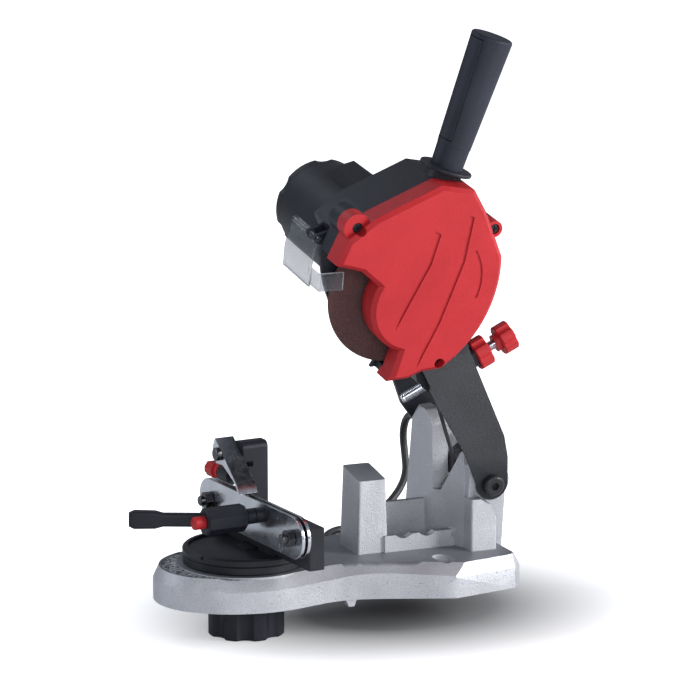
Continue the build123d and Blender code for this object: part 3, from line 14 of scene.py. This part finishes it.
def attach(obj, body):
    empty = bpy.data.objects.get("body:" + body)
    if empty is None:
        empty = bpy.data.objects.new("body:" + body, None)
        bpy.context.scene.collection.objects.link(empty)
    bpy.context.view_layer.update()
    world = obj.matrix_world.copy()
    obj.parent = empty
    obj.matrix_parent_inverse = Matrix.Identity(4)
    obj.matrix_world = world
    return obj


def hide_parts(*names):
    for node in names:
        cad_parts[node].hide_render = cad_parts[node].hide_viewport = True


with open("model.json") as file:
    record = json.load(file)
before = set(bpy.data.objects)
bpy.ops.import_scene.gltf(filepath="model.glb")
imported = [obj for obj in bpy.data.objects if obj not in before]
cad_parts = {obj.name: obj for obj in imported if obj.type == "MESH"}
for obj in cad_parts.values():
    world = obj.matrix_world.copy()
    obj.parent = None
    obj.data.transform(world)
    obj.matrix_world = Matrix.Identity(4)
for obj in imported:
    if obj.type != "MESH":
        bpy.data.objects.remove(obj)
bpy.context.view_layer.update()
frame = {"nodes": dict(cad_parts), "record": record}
behaviour = frame["record"]["behaviour"]
owner = {node: body for body, nodes in behaviour["bodies"].items() for node in nodes}
slots = {row["node"]: row["material_slot"] for row in frame["record"]["subparts"]}


# %% [markdown]
# The camera stands in front of the part, to its left and a little above it. It is far away and has
# a long lens, so upright edges stay nearly parallel. Its three axes are given as a matrix, which is
# exact and needs no order of turns: right lies level, and forward points down at the bench.

# %% camera
FOCAL_LENGTH = 173.83  # millimetres
SENSOR_WIDTH = 36.0    # millimetres
FAR_CLIP = 60.0        # metres
CAMERA_PLACE = (-1.0513, -2.3469, 0.7027)
CAMERA_RIGHT = Vector((0.9205, -0.3907, 0.0))
CAMERA_UP = Vector((0.0779, 0.1835, 0.9799))
CAMERA_FORWARD = Vector((0.3829, 0.9020, -0.1994))


def add_object(name, data):
    made = bpy.data.objects.new(name, data)
    bpy.context.collection.objects.link(made)
    return made


lens = bpy.data.cameras.new("view")
lens.lens = FOCAL_LENGTH
lens.sensor_width = SENSOR_WIDTH
lens.clip_end = FAR_CLIP
camera = add_object("view", lens)
axes = Matrix((CAMERA_RIGHT, CAMERA_UP, -CAMERA_FORWARD)).transposed().to_4x4()
camera.matrix_world = Matrix.Translation(CAMERA_PLACE) @ axes
bpy.context.scene.camera = camera
print("camera distance to the middle of the base:", round(camera.location.length, 3), "m")

# %% [markdown]
# A shader is easier to read as a sum than as a web of boxes. This class wraps one socket, so that
# plus, minus and times add the Math node for us, also with a number on the left.

# %% sockets as numbers
class Wire:
    def __init__(self, finish, socket):
        self.finish = finish
        self.socket = socket

    def maths(self, operation, first, second):
        return self.finish.node("ShaderNodeMath", {"operation": operation}, {0: first, 1: second})

    def __add__(self, other):
        return self.maths("ADD", self, other)

    def __sub__(self, other):
        return self.maths("SUBTRACT", self, other)

    def __rsub__(self, other):
        return self.maths("SUBTRACT", other, self)

    def __mul__(self, other):
        return self.maths("MULTIPLY", self, other)

    __radd__ = __add__
    __rmul__ = __mul__


# %% [markdown]
# A finish is a material with one Principled shader. Every other node comes from one method,
# which sets the node up first and then fills or links its inputs. Patterns follow Object
# coordinates, so one is as large on a small knob as on the wide base.

# %% finish class
class Finish:
    def __init__(self, name, **values):
        self.material = bpy.data.materials.new(name)
        self.material.use_nodes = True
        self.tree = self.material.node_tree
        self.shader = self.tree.nodes["Principled BSDF"]
        self.place = self.node("ShaderNodeTexCoord", out="Object")
        for key, value in values.items():
            self.set(key.replace("_", " ").title(), value)
        print("finish:", name)

    def node(self, kind, settings=None, values=None, out=0):
        """Adds a node and gives back one of its outputs."""
        made = self.tree.nodes.new(kind)
        for key, value in (settings or {}).items():
            setattr(made, key, value)
        for key, value in (values or {}).items():
            self.fill(made.inputs[key], value)
        return Wire(self, made.outputs[out])

    def fill(self, socket, value):
        if isinstance(value, Wire):
            self.tree.links.new(value.socket, socket)
        elif socket.type == "RGBA":
            socket.default_value = (*value, 1.0)
        else:
            socket.default_value = value

    def set(self, name, value):
        self.fill(self.shader.inputs[name], value)

    def noise(self, size, detail=2.0):
        """Cloudy pattern; size is the width of one cloud in metres."""
        values = {"Vector": self.place, "Scale": 1.0 / size, "Detail": detail}
        return self.node("ShaderNodeTexNoise", None, values)

    def cells(self, size):
        """Crystals or grains; size is the width of one in metres."""
        return self.node("ShaderNodeTexVoronoi", None, {"Vector": self.place, "Scale": 1.0 / size})

    def part_of(self, vector, axis):
        """One of the three numbers in a vector: 0, 1 or 2 for X, Y or Z."""
        return self.node("ShaderNodeSeparateXYZ", None, {"Vector": vector}, out=axis)

    def level(self, value, low, high, to_low=0.0, to_high=1.0):
        """Stretches the part of a pattern between low and high over a new range."""
        values = {"Value": value, "From Min": low, "From Max": high}
        values.update({"To Min": to_low, "To Max": to_high})
        return self.node("ShaderNodeMapRange", None, values)

    def tint(self, amount, first, second):
        """Mixes two colours by a pattern."""
        values = {"Factor": amount, 6: first, 7: second}
        return self.node("ShaderNodeMix", {"data_type": "RGBA"}, values, out=2)

    def bump(self, height, distance, strength):
        values = {"Height": height, "Distance": distance, "Strength": strength}
        self.set("Normal", self.node("ShaderNodeBump", None, values))


# %% [markdown]
# The base and yoke are sand-cast aluminium. Sand leaves a fine grain all over, broad dull clouds
# and a few pits, and the metal shines only a little. Three noises at three sizes give these. Level
# tops are painted darker than the walls: painted shade, since the tops face the dim sky and the
# walls face the lamps. The sunk scale pad in front is etched in flecks, and is found by its height
# and place, because it is part of the same casting.

# %% cast aluminium
PAD_FLOOR = (0.0235, 0.0240)  # the pad starts between these heights, in metres
PAD_TOP = (0.0250, 0.0254)    # and ends between these, below the raised ticks
PAD_BACK = (-0.125, -0.130)   # it lies in front of here, along X


def cast_finish():
    cast = Finish("cast_alloy", metallic=0.45)
    sand = cast.noise(0.0011, 3.0)
    clouds = cast.level(cast.noise(0.035, 4.0), 0.3, 0.7)
    pits = cast.level(cast.noise(0.0016, 1.0), 0.24, 0.34, 1.0, 0.0)
    facing = cast.node("ShaderNodeNewGeometry", out="Normal")
    flat = cast.level(cast.part_of(facing, 2), 0.93, 0.99)
    # painted shade: faces that point up take the darker colour, the walls the lighter one
    lit_walls = cast.tint(clouds, (0.42, 0.425, 0.455), (0.53, 0.535, 0.57))
    shaded_tops = cast.tint(clouds, (0.17, 0.174, 0.195), (0.23, 0.235, 0.262))
    painted_shade_skin = cast.tint(flat, lit_walls, shaded_tops)
    speck = cast.tint(cast.level(sand, 0.35, 0.65) * 0.22, painted_shade_skin, (0.16, 0.165, 0.18))
    metal = cast.tint(pits * 0.35, speck, (0.10, 0.10, 0.11))
    height = cast.part_of(cast.place, 2)
    pad = flat * cast.level(height, *PAD_TOP, 1.0, 0.0) * cast.level(height, *PAD_FLOOR)
    pad = pad * cast.level(cast.part_of(cast.place, 0), *PAD_BACK)
    fleck = cast.level(cast.noise(0.0024), 0.44, 0.56)
    etched = cast.tint(fleck, (0.055, 0.057, 0.066), (0.46, 0.465, 0.50))
    cast.set("Base Color", cast.tint(pad, metal, etched))
    cast.set("Roughness", 0.40 + clouds * 0.14)
    cast.bump(sand * 0.7 + clouds * 0.5 - pits * 0.5, 0.0007, 0.6)
    return cast.material


# %% [markdown]
# The arm, the vise bar and the turntable are black enamel over iron: satin, slightly orange-peeled,
# and worn a little greyer in broad patches.

# %% black enamel
def enamel_finish(name, dark, light, gloss, grain):
    enamel = Finish(name)
    peel = enamel.noise(grain)
    patches = enamel.level(enamel.noise(0.03, 3.0), 0.35, 0.7)
    enamel.set("Base Color", enamel.tint(patches, dark, light))
    enamel.set("Roughness", gloss + peel * 0.12)
    enamel.set("Specular IOR Level", 0.32)
    enamel.bump(peel, 0.0002, 0.5)
    return enamel.material


# %% [markdown]
# Moulded plastic has spark-eroded texture: a very fine pebble that blurs every highlight. The red
# cover and knobs and the black housing share it and differ in colour and depth.

# %% moulded plastic
def plastic_finish(name, low, high, gloss, depth):
    plastic = Finish(name)
    pebble = plastic.noise(0.0008)
    flow = plastic.level(plastic.noise(0.05, 3.0), 0.3, 0.7)
    plastic.set("Base Color", plastic.tint(flow, low, high))
    plastic.set("Roughness", gloss + plastic.level(pebble, 0.3, 0.7) * 0.12)
    plastic.set("Specular IOR Level", 0.28)
    plastic.bump(pebble, depth, 0.7)
    return plastic.material


# %% [markdown]
# Zinc plate is bright but never a mirror: small crystals reflect a little differently, and handling
# dulls it in patches. Turned steel, spring wire and bronze take the same recipe in other colours.

# %% bright metals
def plated_finish(name, low, high, gloss, spangle):
    plated = Finish(name, metallic=1.0)
    crystals = plated.cells(spangle)
    wear = plated.level(plated.noise(0.012, 3.0), 0.3, 0.7)
    plated.set("Base Color", plated.tint(wear, low, high))
    plated.set("Roughness", gloss + crystals * 0.10 + wear * 0.08)
    plated.bump(plated.noise(0.0015), 0.00005, 0.15)
    return plated.material


# %% [markdown]
# The disc is bonded grit: brown-red grains in a darker bond, dull everywhere. Small cells serve as
# grains, in the colour and in the bump alike.

# %% grit
def grit_finish():
    grit = Finish("abrasive")
    grains = grit.cells(0.0009)
    stain = grit.level(grit.noise(0.02, 3.0), 0.3, 0.7)
    bond = grit.tint(stain, (0.045, 0.016, 0.017), (0.070, 0.024, 0.025))
    bright = grit.level(grains, 0.25, 0.6) * 0.5
    grit.set("Base Color", grit.tint(bright, bond, (0.13, 0.065, 0.060)))
    grit.set("Roughness", 0.82 + grains * 0.15)
    grit.bump(grains, 0.0006, 0.8)
    return grit.material


# %% [markdown]
# The lead, its boot and its plug are soft black rubber, with a faint greyish haze from handling.

# %% rubber
def rubber_finish():
    rubber = Finish("black_rubber")
    haze = rubber.noise(0.008, 3.0)
    rubber.set("Base Color", rubber.tint(haze, (0.012, 0.012, 0.014), (0.028, 0.028, 0.031)))
    rubber.set("Roughness", 0.42 + haze * 0.15)
    rubber.bump(rubber.noise(0.0012, 1.0), 0.0001, 0.4)
    return rubber.material


# %% [markdown]
# The spark guard is a bent sheet of clear plastic. Its faces show what lies behind them, a little
# darker. Its cut edges gather the light of the whole sheet and look white, so that light is painted
# on them as a near-white finish of their own: a painted highlight.

# %% clear plastic
def clear_finish():
    clear = Finish("clear_guard", transmission_weight=0.92, alpha=0.5)
    clear.set("IOR", 1.49)
    haze = clear.noise(0.01, 3.0)
    clear.set("Base Color", clear.tint(haze, (0.34, 0.38, 0.45), (0.46, 0.50, 0.57)))
    clear.set("Roughness", 0.04 + haze * 0.06)
    return clear.material


# painted highlight: the cut edges are coloured near white and almost opaque, standing in for the
# light they gather
def guard_edge_highlight_finish():
    edge = Finish("guard_edge_highlight", alpha=0.86)
    highlight_noise = edge.noise(0.0012)
    edge.set("Base Color", edge.tint(highlight_noise, (0.72, 0.75, 0.80), (0.90, 0.93, 0.96)))
    edge.set("Roughness", 0.18 + highlight_noise * 0.2)
    return edge.material


# %% [markdown]
# The record names a material slot for each CAD node, and one table turns slots into finishes. A
# few nodes get a finish of their own: the grip is a softer plastic than the housing, and the small
# bolts and pins are dark zinc or blackened.

# %% table of finishes
BLACKENED = ((0.012, 0.012, 0.015), (0.026, 0.026, 0.030))
TURNED = ((0.48, 0.48, 0.49), (0.62, 0.62, 0.63))
DARK_STEEL = ((0.07, 0.07, 0.08), (0.13, 0.13, 0.14))
ZINC = ((0.58, 0.60, 0.64), (0.68, 0.70, 0.74))
BRONZE = ((0.42, 0.27, 0.12), (0.56, 0.38, 0.18))
ENAMEL = ((0.007, 0.008, 0.011), (0.014, 0.015, 0.021))
HOUSING = ((0.008, 0.009, 0.014), (0.015, 0.017, 0.025))
RED = ((0.37, 0.014, 0.018), (0.44, 0.020, 0.025))
GRIP = ((0.012, 0.013, 0.022), (0.019, 0.021, 0.034))
finishes = {
    "cast_alloy": cast_finish(),
    "black_steel": enamel_finish("black_steel", *BLACKENED, 0.28, 0.0010),
    "machined_steel": plated_finish("machined_steel", *TURNED, 0.28, 0.0016),
    "spring_steel": plated_finish("spring_steel", *DARK_STEEL, 0.34, 0.0016),
    "zinc_steel": plated_finish("zinc_steel", *ZINC, 0.13, 0.0030),
    "bronze": plated_finish("bronze", *BRONZE, 0.38, 0.0014),
    "black_enamel": enamel_finish("black_enamel", *ENAMEL, 0.36, 0.0013),
    "black_plastic": plastic_finish("black_plastic", *HOUSING, 0.40, 0.00024),
    "red_plastic": plastic_finish("red_plastic", *RED, 0.40, 0.00016),
    "abrasive": grit_finish(),
    "clear_guard": clear_finish(),
    "black_rubber": rubber_finish(),
    "guard_edge_highlight": guard_edge_highlight_finish(),
    "dark_zinc": plated_finish("dark_zinc", *DARK_STEEL, 0.16, 0.0020),
    "grip_plastic": plastic_finish("grip_plastic", *GRIP, 0.50, 0.00012),
}
special = {
    "handle_grip": "grip_plastic", "switch_paddle": "grip_plastic", "rail_bolts": "dark_zinc",
    "pawl_pin": "dark_zinc", "guard_pin": "black_steel",
}


def finish_of(name):
    return finishes[special.get(name, slots[name])]


print(len(finishes), "finishes for", len(slots), "nodes")

# %% [markdown]
# A CAD solid arrives with knife-sharp edges. Real mouldings, castings and pressings have small
# radii that catch light, so each visible solid is copied, merged, and its sharp edges bevelled.
# The weighted-normal modifier then keeps the flat faces flat.

# %% soft edges
SAME_PLACE = 1e-6            # points nearer than this are one
FLAT = math.radians(1.0)     # faces that differ by less are one
SHARP = math.radians(32)     # edges that bend by more are rounded
CREASE = 45                  # degrees; edges that bend by more are shaded sharp
CURVED = ("wheel_cover", "base_casting", "head_housing")  # merging faces would dent their curves


def settle(piece, name):
    """Finish and body for a new piece, as its CAD node has them."""
    piece.data.materials.clear()
    piece.data.materials.append(finish_of(name))
    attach(piece, owner[name])


def round_edges(shape, edges, radius, segments):
    bmesh.ops.bevel(
        shape, geom=edges, offset=radius, offset_type="OFFSET", segments=segments, profile=0.5,
        affect="EDGES", clamp_overlap=True, material=-1,
    )


def smooth_mesh(shape, name, crease):
    mesh = bpy.data.meshes.new(name)
    shape.to_mesh(mesh)
    shape.free()
    mesh.shade_smooth()
    mesh.set_sharp_from_angle(angle=math.radians(crease))
    return mesh


def is_sharp(edge):
    return len(edge.link_faces) == 2 and edge.calc_face_angle() > SHARP


def dressed(name, radius):
    """Copy of a CAD node with rounded edges, which stands for it."""
    shape = bmesh.new()
    shape.from_mesh(frame["nodes"][name].data)
    bmesh.ops.remove_doubles(shape, verts=shape.verts, dist=SAME_PLACE)
    if name not in CURVED:
        bmesh.ops.dissolve_limit(shape, angle_limit=FLAT, verts=shape.verts, edges=shape.edges)
    round_edges(shape, [edge for edge in shape.edges if is_sharp(edge)], radius, segments=2)
    piece = add_object(f"{name}_dressed", smooth_mesh(shape, f"{name}_dressed", CREASE))
    piece.modifiers.new("flat_faces", "WEIGHTED_NORMAL").keep_sharp = True
    settle(piece, name)
    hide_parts(name)
    return piece


# %% [markdown]
# Each radius is what the real piece has, in metres: nearly 1 mm on the sand casting, half of that
# on mouldings and less on pressed or turned steel. What stays hidden inside keeps its CAD mesh and
# only gets its finish.

# %% dress the nodes
edge_radius = {
    "base_casting": 0.0009, "swing_arm": 0.0006, "head_housing": 0.0006, "wheel_cover": 0.0006,
    "turntable": 0.0005, "vise_support": 0.0004, "pawl_bracket": 0.0006, "clamp_lever": 0.0006,
    "handle_grip": 0.0006, "switch_paddle": 0.0005, "handle_collar": 0.0004, "terminal_box": 0.0008,
    "motor_housing": 0.0005, "motor_end_cap": 0.0006, "clamp_knob": 0.0008, "limit_knob": 0.0006,
    "lock_knob": 0.0006, "feed_knob": 0.0005, "chain_pawl": 0.0003, "fixed_rail": 0.0003,
    "moving_rail": 0.0003, "spark_guard": 0.0003, "pivot_bolt": 0.0003, "rail_bolts": 0.0003,
    "motor_plate": 0.0004, "pawl_pin": 0.0003, "lever_button": 0.0004, "cord_plug": 0.0004,
    "cord_boot": 0.0004, "grinding_disc": 0.0002,
}
dressed_pieces = {name: dressed(name, radius) for name, radius in edge_radius.items()}
for name, node in frame["nodes"].items():
    if name not in dressed_pieces:
        node.data.materials.clear()
        node.data.materials.append(finish_of(name))
base_faces = len(dressed_pieces["base_casting"].data.polygons)
print("dressed:", len(dressed_pieces), "pieces, faces in the base:", base_faces)

# %% [markdown]
# The guard's cut edges are the narrow four-sided faces round its rim. The hinge barrel has narrow
# faces too, so those that lie close to the hinge's axis are passed over.

# %% cut edges of the guard
SHEET = 0.0022   # a little more than the sheet is thick
BARREL = 0.006   # a little more than the hinge barrel's radius
guard = dressed_pieces["spark_guard"].data
guard.materials.append(finishes["guard_edge_highlight"])
hinge = next(joint for joint in behaviour["joints"] if joint["name"] == "guard_tilt")
hinge_place, hinge_axis = Vector(hinge["pos_m"]), Vector(hinge["axis"]).normalized()
for face in guard.polygons:
    corners = [guard.vertices[index].co for index in face.vertices]
    sides = [(first - second).length for first, second in zip(corners, corners[1:] + corners[:1])]
    reach = (face.center - hinge_place).cross(hinge_axis).length
    face.material_index = int(len(corners) == 4 and min(sides) < SHEET and reach > BARREL)
print("cut faces of the guard:", sum(face.material_index for face in guard.polygons))

# %% [markdown]
# The mains lead is a 6.2 mm rubber cable. It leaves the boot behind the pivot, drops in one loose
# bend and lies down behind the base, where its spare length is coiled. A NURBS curve of order 3
# bends evenly through its control points, as a real cable does.

# %% lead
LEAD_DIAMETER = 0.0062
BENCH = -0.031          # height of the floor under the hand knob
ROUTE = [
    (0.0470, 0.08615, 0.10008), (0.0470, 0.1040, 0.1033), (0.0474, 0.1228, 0.0980),
    (0.0485, 0.1335, 0.0820), (0.0500, 0.1325, 0.0650), (0.0480, 0.1240, 0.0495),
    (0.0370, 0.1135, 0.0380), (0.0215, 0.1065, 0.0272), (0.0030, 0.1030, 0.0145),
    (-0.0065, 0.1035, 0.0020), (-0.0096, 0.1080, -0.0125), (-0.0102, 0.1185, -0.0232),
]
LEAD_END = [
    (-0.0106, 0.1420, -0.0085), (-0.0108, 0.1540, -0.0080), (-0.0060, 0.1650, -0.0075),
    (0.0030, 0.1730, -0.0070), (0.0110, 0.1760, -0.0070), (0.0165, 0.1760, -0.0070),
]

# %% [markdown]
# The coil is wound as a hand winds it: two turns side by side, two more on top of them, and so on.
# Its plan has a row for each place where the lead starts or ends a climb, with the turns so far,
# the radius and the layer. Points between two rows share out the difference.

# %% coil
COIL_MIDDLE = (0.030, 0.140)
COIL_START = math.radians(184.0)
POINTS_PER_TURN = 16
OUTER_TURN, INNER_TURN = 0.0396, 0.0330
LAYERS = (0.0031, 0.0095, 0.0159, 0.0223)  # height of each layer's middle above the bench
COIL_PLAN = [
    (0.0, OUTER_TURN, 0), (0.82, OUTER_TURN, 0), (1.0, INNER_TURN, 0), (1.82, INNER_TURN, 0),
    (1.98, INNER_TURN, 1), (2.70, INNER_TURN, 1), (2.86, OUTER_TURN, 1), (3.55, OUTER_TURN, 1),
    (3.70, OUTER_TURN, 2), (4.45, OUTER_TURN, 2), (4.62, INNER_TURN, 2), (5.45, INNER_TURN, 2),
    (5.64, INNER_TURN, 3), (5.96, OUTER_TURN - 0.001, 3),
]


def coil_points():
    """About six turns, clockwise from the left. The curve runs a little inside them."""
    points = []
    outside = math.cos(math.pi / POINTS_PER_TURN)
    for step in range(int(COIL_PLAN[-1][0] * POINTS_PER_TURN) + 1):
        turns = step / POINTS_PER_TURN
        before = [row for row in COIL_PLAN if row[0] <= turns][-1]
        after = [row for row in COIL_PLAN if row[0] > turns][0]
        share = (turns - before[0]) / (after[0] - before[0])
        reach = (before[1] + (after[1] - before[1]) * share) / outside
        lift = LAYERS[before[2]] + (LAYERS[after[2]] - LAYERS[before[2]]) * share
        angle = COIL_START - turns * 2 * math.pi
        x, y = COIL_MIDDLE[0] + reach * math.cos(angle), COIL_MIDDLE[1] + reach * math.sin(angle)
        points.append((x, y, BENCH + lift))
    return points


print("coil:", len(coil_points()), "points for", COIL_PLAN[-1][0], "turns")

# %% [markdown]
# The curve's order and its end points are set after the points are added. Set before, they would
# leave it at order 2, which is straight runs.

# %% lay the lead
curve = bpy.data.curves.new("lead", "CURVE")
curve.dimensions = "3D"
curve.bevel_depth = LEAD_DIAMETER / 2
curve.bevel_resolution = 4
curve.use_fill_caps = True
line = curve.splines.new("NURBS")
stops = ROUTE + coil_points() + LEAD_END
line.points.add(len(stops) - 1)
for point, place in zip(line.points, stops):
    point.co = (*place, 1.0)
line.order_u = 3
line.use_endpoint_u = True
line.resolution_u = 6
lead = add_object("lead", curve)
settle(lead, "power_cord")
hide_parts("power_cord", "cord_coil")
print("lead has", len(stops), "control points")

# %% [markdown]
# The limit screw and the feed screw are threaded all along. A thread is one small V swept round and
# along: spin does both at once, because it can also move a little at each step.

# %% threads
STEPS_PER_TURN = 20
PLAIN_TURNS = 2.5     # left without thread, at both ends together
CORE_SIDES = 28
CORE_DEPTH = 0.9      # the core reaches this share of the way down the thread
NOSE = 0.25           # rounding of the ends, as a share of the radius
THREAD_CREASE = 50


def is_level(edge):
    return abs(edge.verts[0].co.z - edge.verts[1].co.z) < SAME_PLACE


def threaded(name, start, direction, length, radius, pitch):
    """Screw from start along direction, with a V thread and a round-nosed core."""
    depth = pitch * 0.5
    shape = bmesh.new()
    vee = ((depth, 0.0), (0.0, 0.5), (depth, 1.0))
    profile = [shape.verts.new((radius - inward, 0, pitch * share)) for inward, share in vee]
    edges = [shape.edges.new(pair) for pair in zip(profile, profile[1:])]
    turns = int((length - PLAIN_TURNS * pitch) / pitch)
    bmesh.ops.spin(
        shape, geom=profile + edges, cent=(0, 0, 0), axis=(0, 0, 1),
        dvec=(0, 0, pitch / STEPS_PER_TURN), angle=turns * 2 * math.pi,
        steps=turns * STEPS_PER_TURN, use_merge=False,
    )
    bmesh.ops.translate(shape, verts=shape.verts, vec=(0, 0, pitch))
    bmesh.ops.remove_doubles(shape, verts=shape.verts, dist=SAME_PLACE)
    core_radius = radius - depth * CORE_DEPTH
    core = bmesh.ops.create_cone(
        shape, cap_ends=True, segments=CORE_SIDES, radius1=core_radius, radius2=core_radius,
        depth=length,
    )["verts"]
    bmesh.ops.translate(shape, verts=core, vec=(0, 0, length / 2))
    ends = {edge for vert in core for edge in vert.link_edges if is_level(edge)}
    round_edges(shape, list(ends), radius * NOSE, segments=3)
    turn = Vector((0, 0, 1)).rotation_difference(Vector(direction)).to_matrix().to_4x4()
    bmesh.ops.transform(shape, matrix=Matrix.Translation(start) @ turn, verts=shape.verts)
    screw = add_object(f"{name}_thread", smooth_mesh(shape, f"{name}_thread", THREAD_CREASE))
    settle(screw, name)
    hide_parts(name)
    print(name, "has", turns, "turns of thread")


threaded(
    "limit_screw", start=(-0.0170, -0.01275, 0.14438), direction=(0.88410, -0.08115, 0.46021),
    length=0.0890, radius=0.0040, pitch=0.00125,
)
threaded(
    "feed_screw", start=(-0.143098, 0.010442, 0.0880), direction=(-0.104528, 0.994522, 0.0),
    length=0.0350, radius=0.0030, pitch=0.0010,
)

# %% [markdown]
# The floor is a wide pale sheet, lit by the lamps near the object. It is painted darker right under
# the base, where little light reaches. Further out a glow that only the camera sees takes over, so
# the sheet fades to white behind the object and keeps its shadow below it.

# %% floor
FLOOR_SIZE = 14.0
FLOOR_BACK = 6.0            # the sheet lies further behind the object than before it
SHADE_OVAL = {"Location": (0.005, -0.02, 0.0), "Scale": (0.95, 1.2, 1.0)}
SHADE_REACH = (0.02, 0.21)  # the dark paint fades out between these distances
GLOW_REACH = (0.08, 0.30)   # and the glow comes in between these


def paper_finish():
    paper = Finish("paper", roughness=0.9)
    paper.set("Specular IOR Level", 0.1)
    oval = paper.node("ShaderNodeMapping", None, {"Vector": paper.place, **SHADE_OVAL})
    distance = paper.node("ShaderNodeVectorMath", {"operation": "LENGTH"}, {0: oval}, out="Value")
    clean = paper.tint(paper.noise(0.8), (0.84, 0.84, 0.85), (0.88, 0.88, 0.89))
    shade = paper.tint(paper.level(distance, *SHADE_REACH), (0.05, 0.05, 0.055), clean)
    paper.set("Base Color", shade)
    seen = paper.node("ShaderNodeLightPath", out="Is Camera Ray")
    glow = seen * paper.level(distance, *GLOW_REACH)
    paper.set("Emission Color", paper.tint(glow, (0.0, 0.0, 0.0), (1.0, 1.0, 1.0)))
    paper.set("Emission Strength", 1.0)
    return paper.material


sheet = bmesh.new()
bmesh.ops.create_grid(sheet, x_segments=2, y_segments=2, size=FLOOR_SIZE)
bmesh.ops.translate(sheet, verts=sheet.verts, vec=(0, FLOOR_BACK, BENCH))
floor_mesh = bpy.data.meshes.new("floor")
sheet.to_mesh(floor_mesh)
sheet.free()
floor_mesh.materials.append(paper_finish())
floor = add_object("floor", floor_mesh)
print("floor:", round(BENCH * 1000, 1), "mm from the underside of the base")

# %% [markdown]
# Black plastic is only readable by what it reflects, so the lamps are long soft boxes at both sides
# with a dim sky between them. The strongest one stands to the right of the camera.

# %% lamps
COOL = (0.85, 0.91, 1.0)
SKY_COLOUR = (0.86, 0.90, 1.0, 1.0)
SKY_STRENGTH = 0.24


def lamp(name, place, aim_height, size, power, tone=(1.0, 1.0, 1.0)):
    """Soft box in watts that faces the middle of the base at a height above it."""
    data = bpy.data.lights.new(name, "AREA")
    data.shape = "RECTANGLE"
    data.size, data.size_y = size
    data.energy = power
    data.color = tone
    made = add_object(name, data)
    made.location = place
    toward = Vector((0.0, 0.0, aim_height)) - Vector(place)
    made.rotation_euler = toward.to_track_quat("-Z", "Y").to_euler()


lamp("right_softbox", (2.0, -1.7, 0.95), 0.18, (1.2, 1.5), 90.0)
lamp("left_strip", (-2.1, 0.9, 0.8), 0.22, (0.4, 1.8), 13.0, COOL)
lamp("right_strip", (2.1, 0.9, 0.7), 0.22, (0.3, 1.6), 6.0, (0.92, 0.95, 1.0))
lamp("front_fill", (-0.9, -2.5, 0.9), 0.18, (1.5, 1.0), 30.0, (0.95, 0.97, 1.0))
lamp("overhead", (-0.9, 1.6, 2.1), 0.1, (1.4, 1.2), 10.0, COOL)
sky = bpy.data.worlds.new("sky")
sky.use_nodes = True
sky.node_tree.nodes["Background"].inputs["Color"].default_value = SKY_COLOUR
sky.node_tree.nodes["Background"].inputs["Strength"].default_value = SKY_STRENGTH
bpy.context.scene.world = sky
bpy.context.scene.view_settings.view_transform = "Standard"
print("lamps:", [item.name for item in bpy.data.lights])
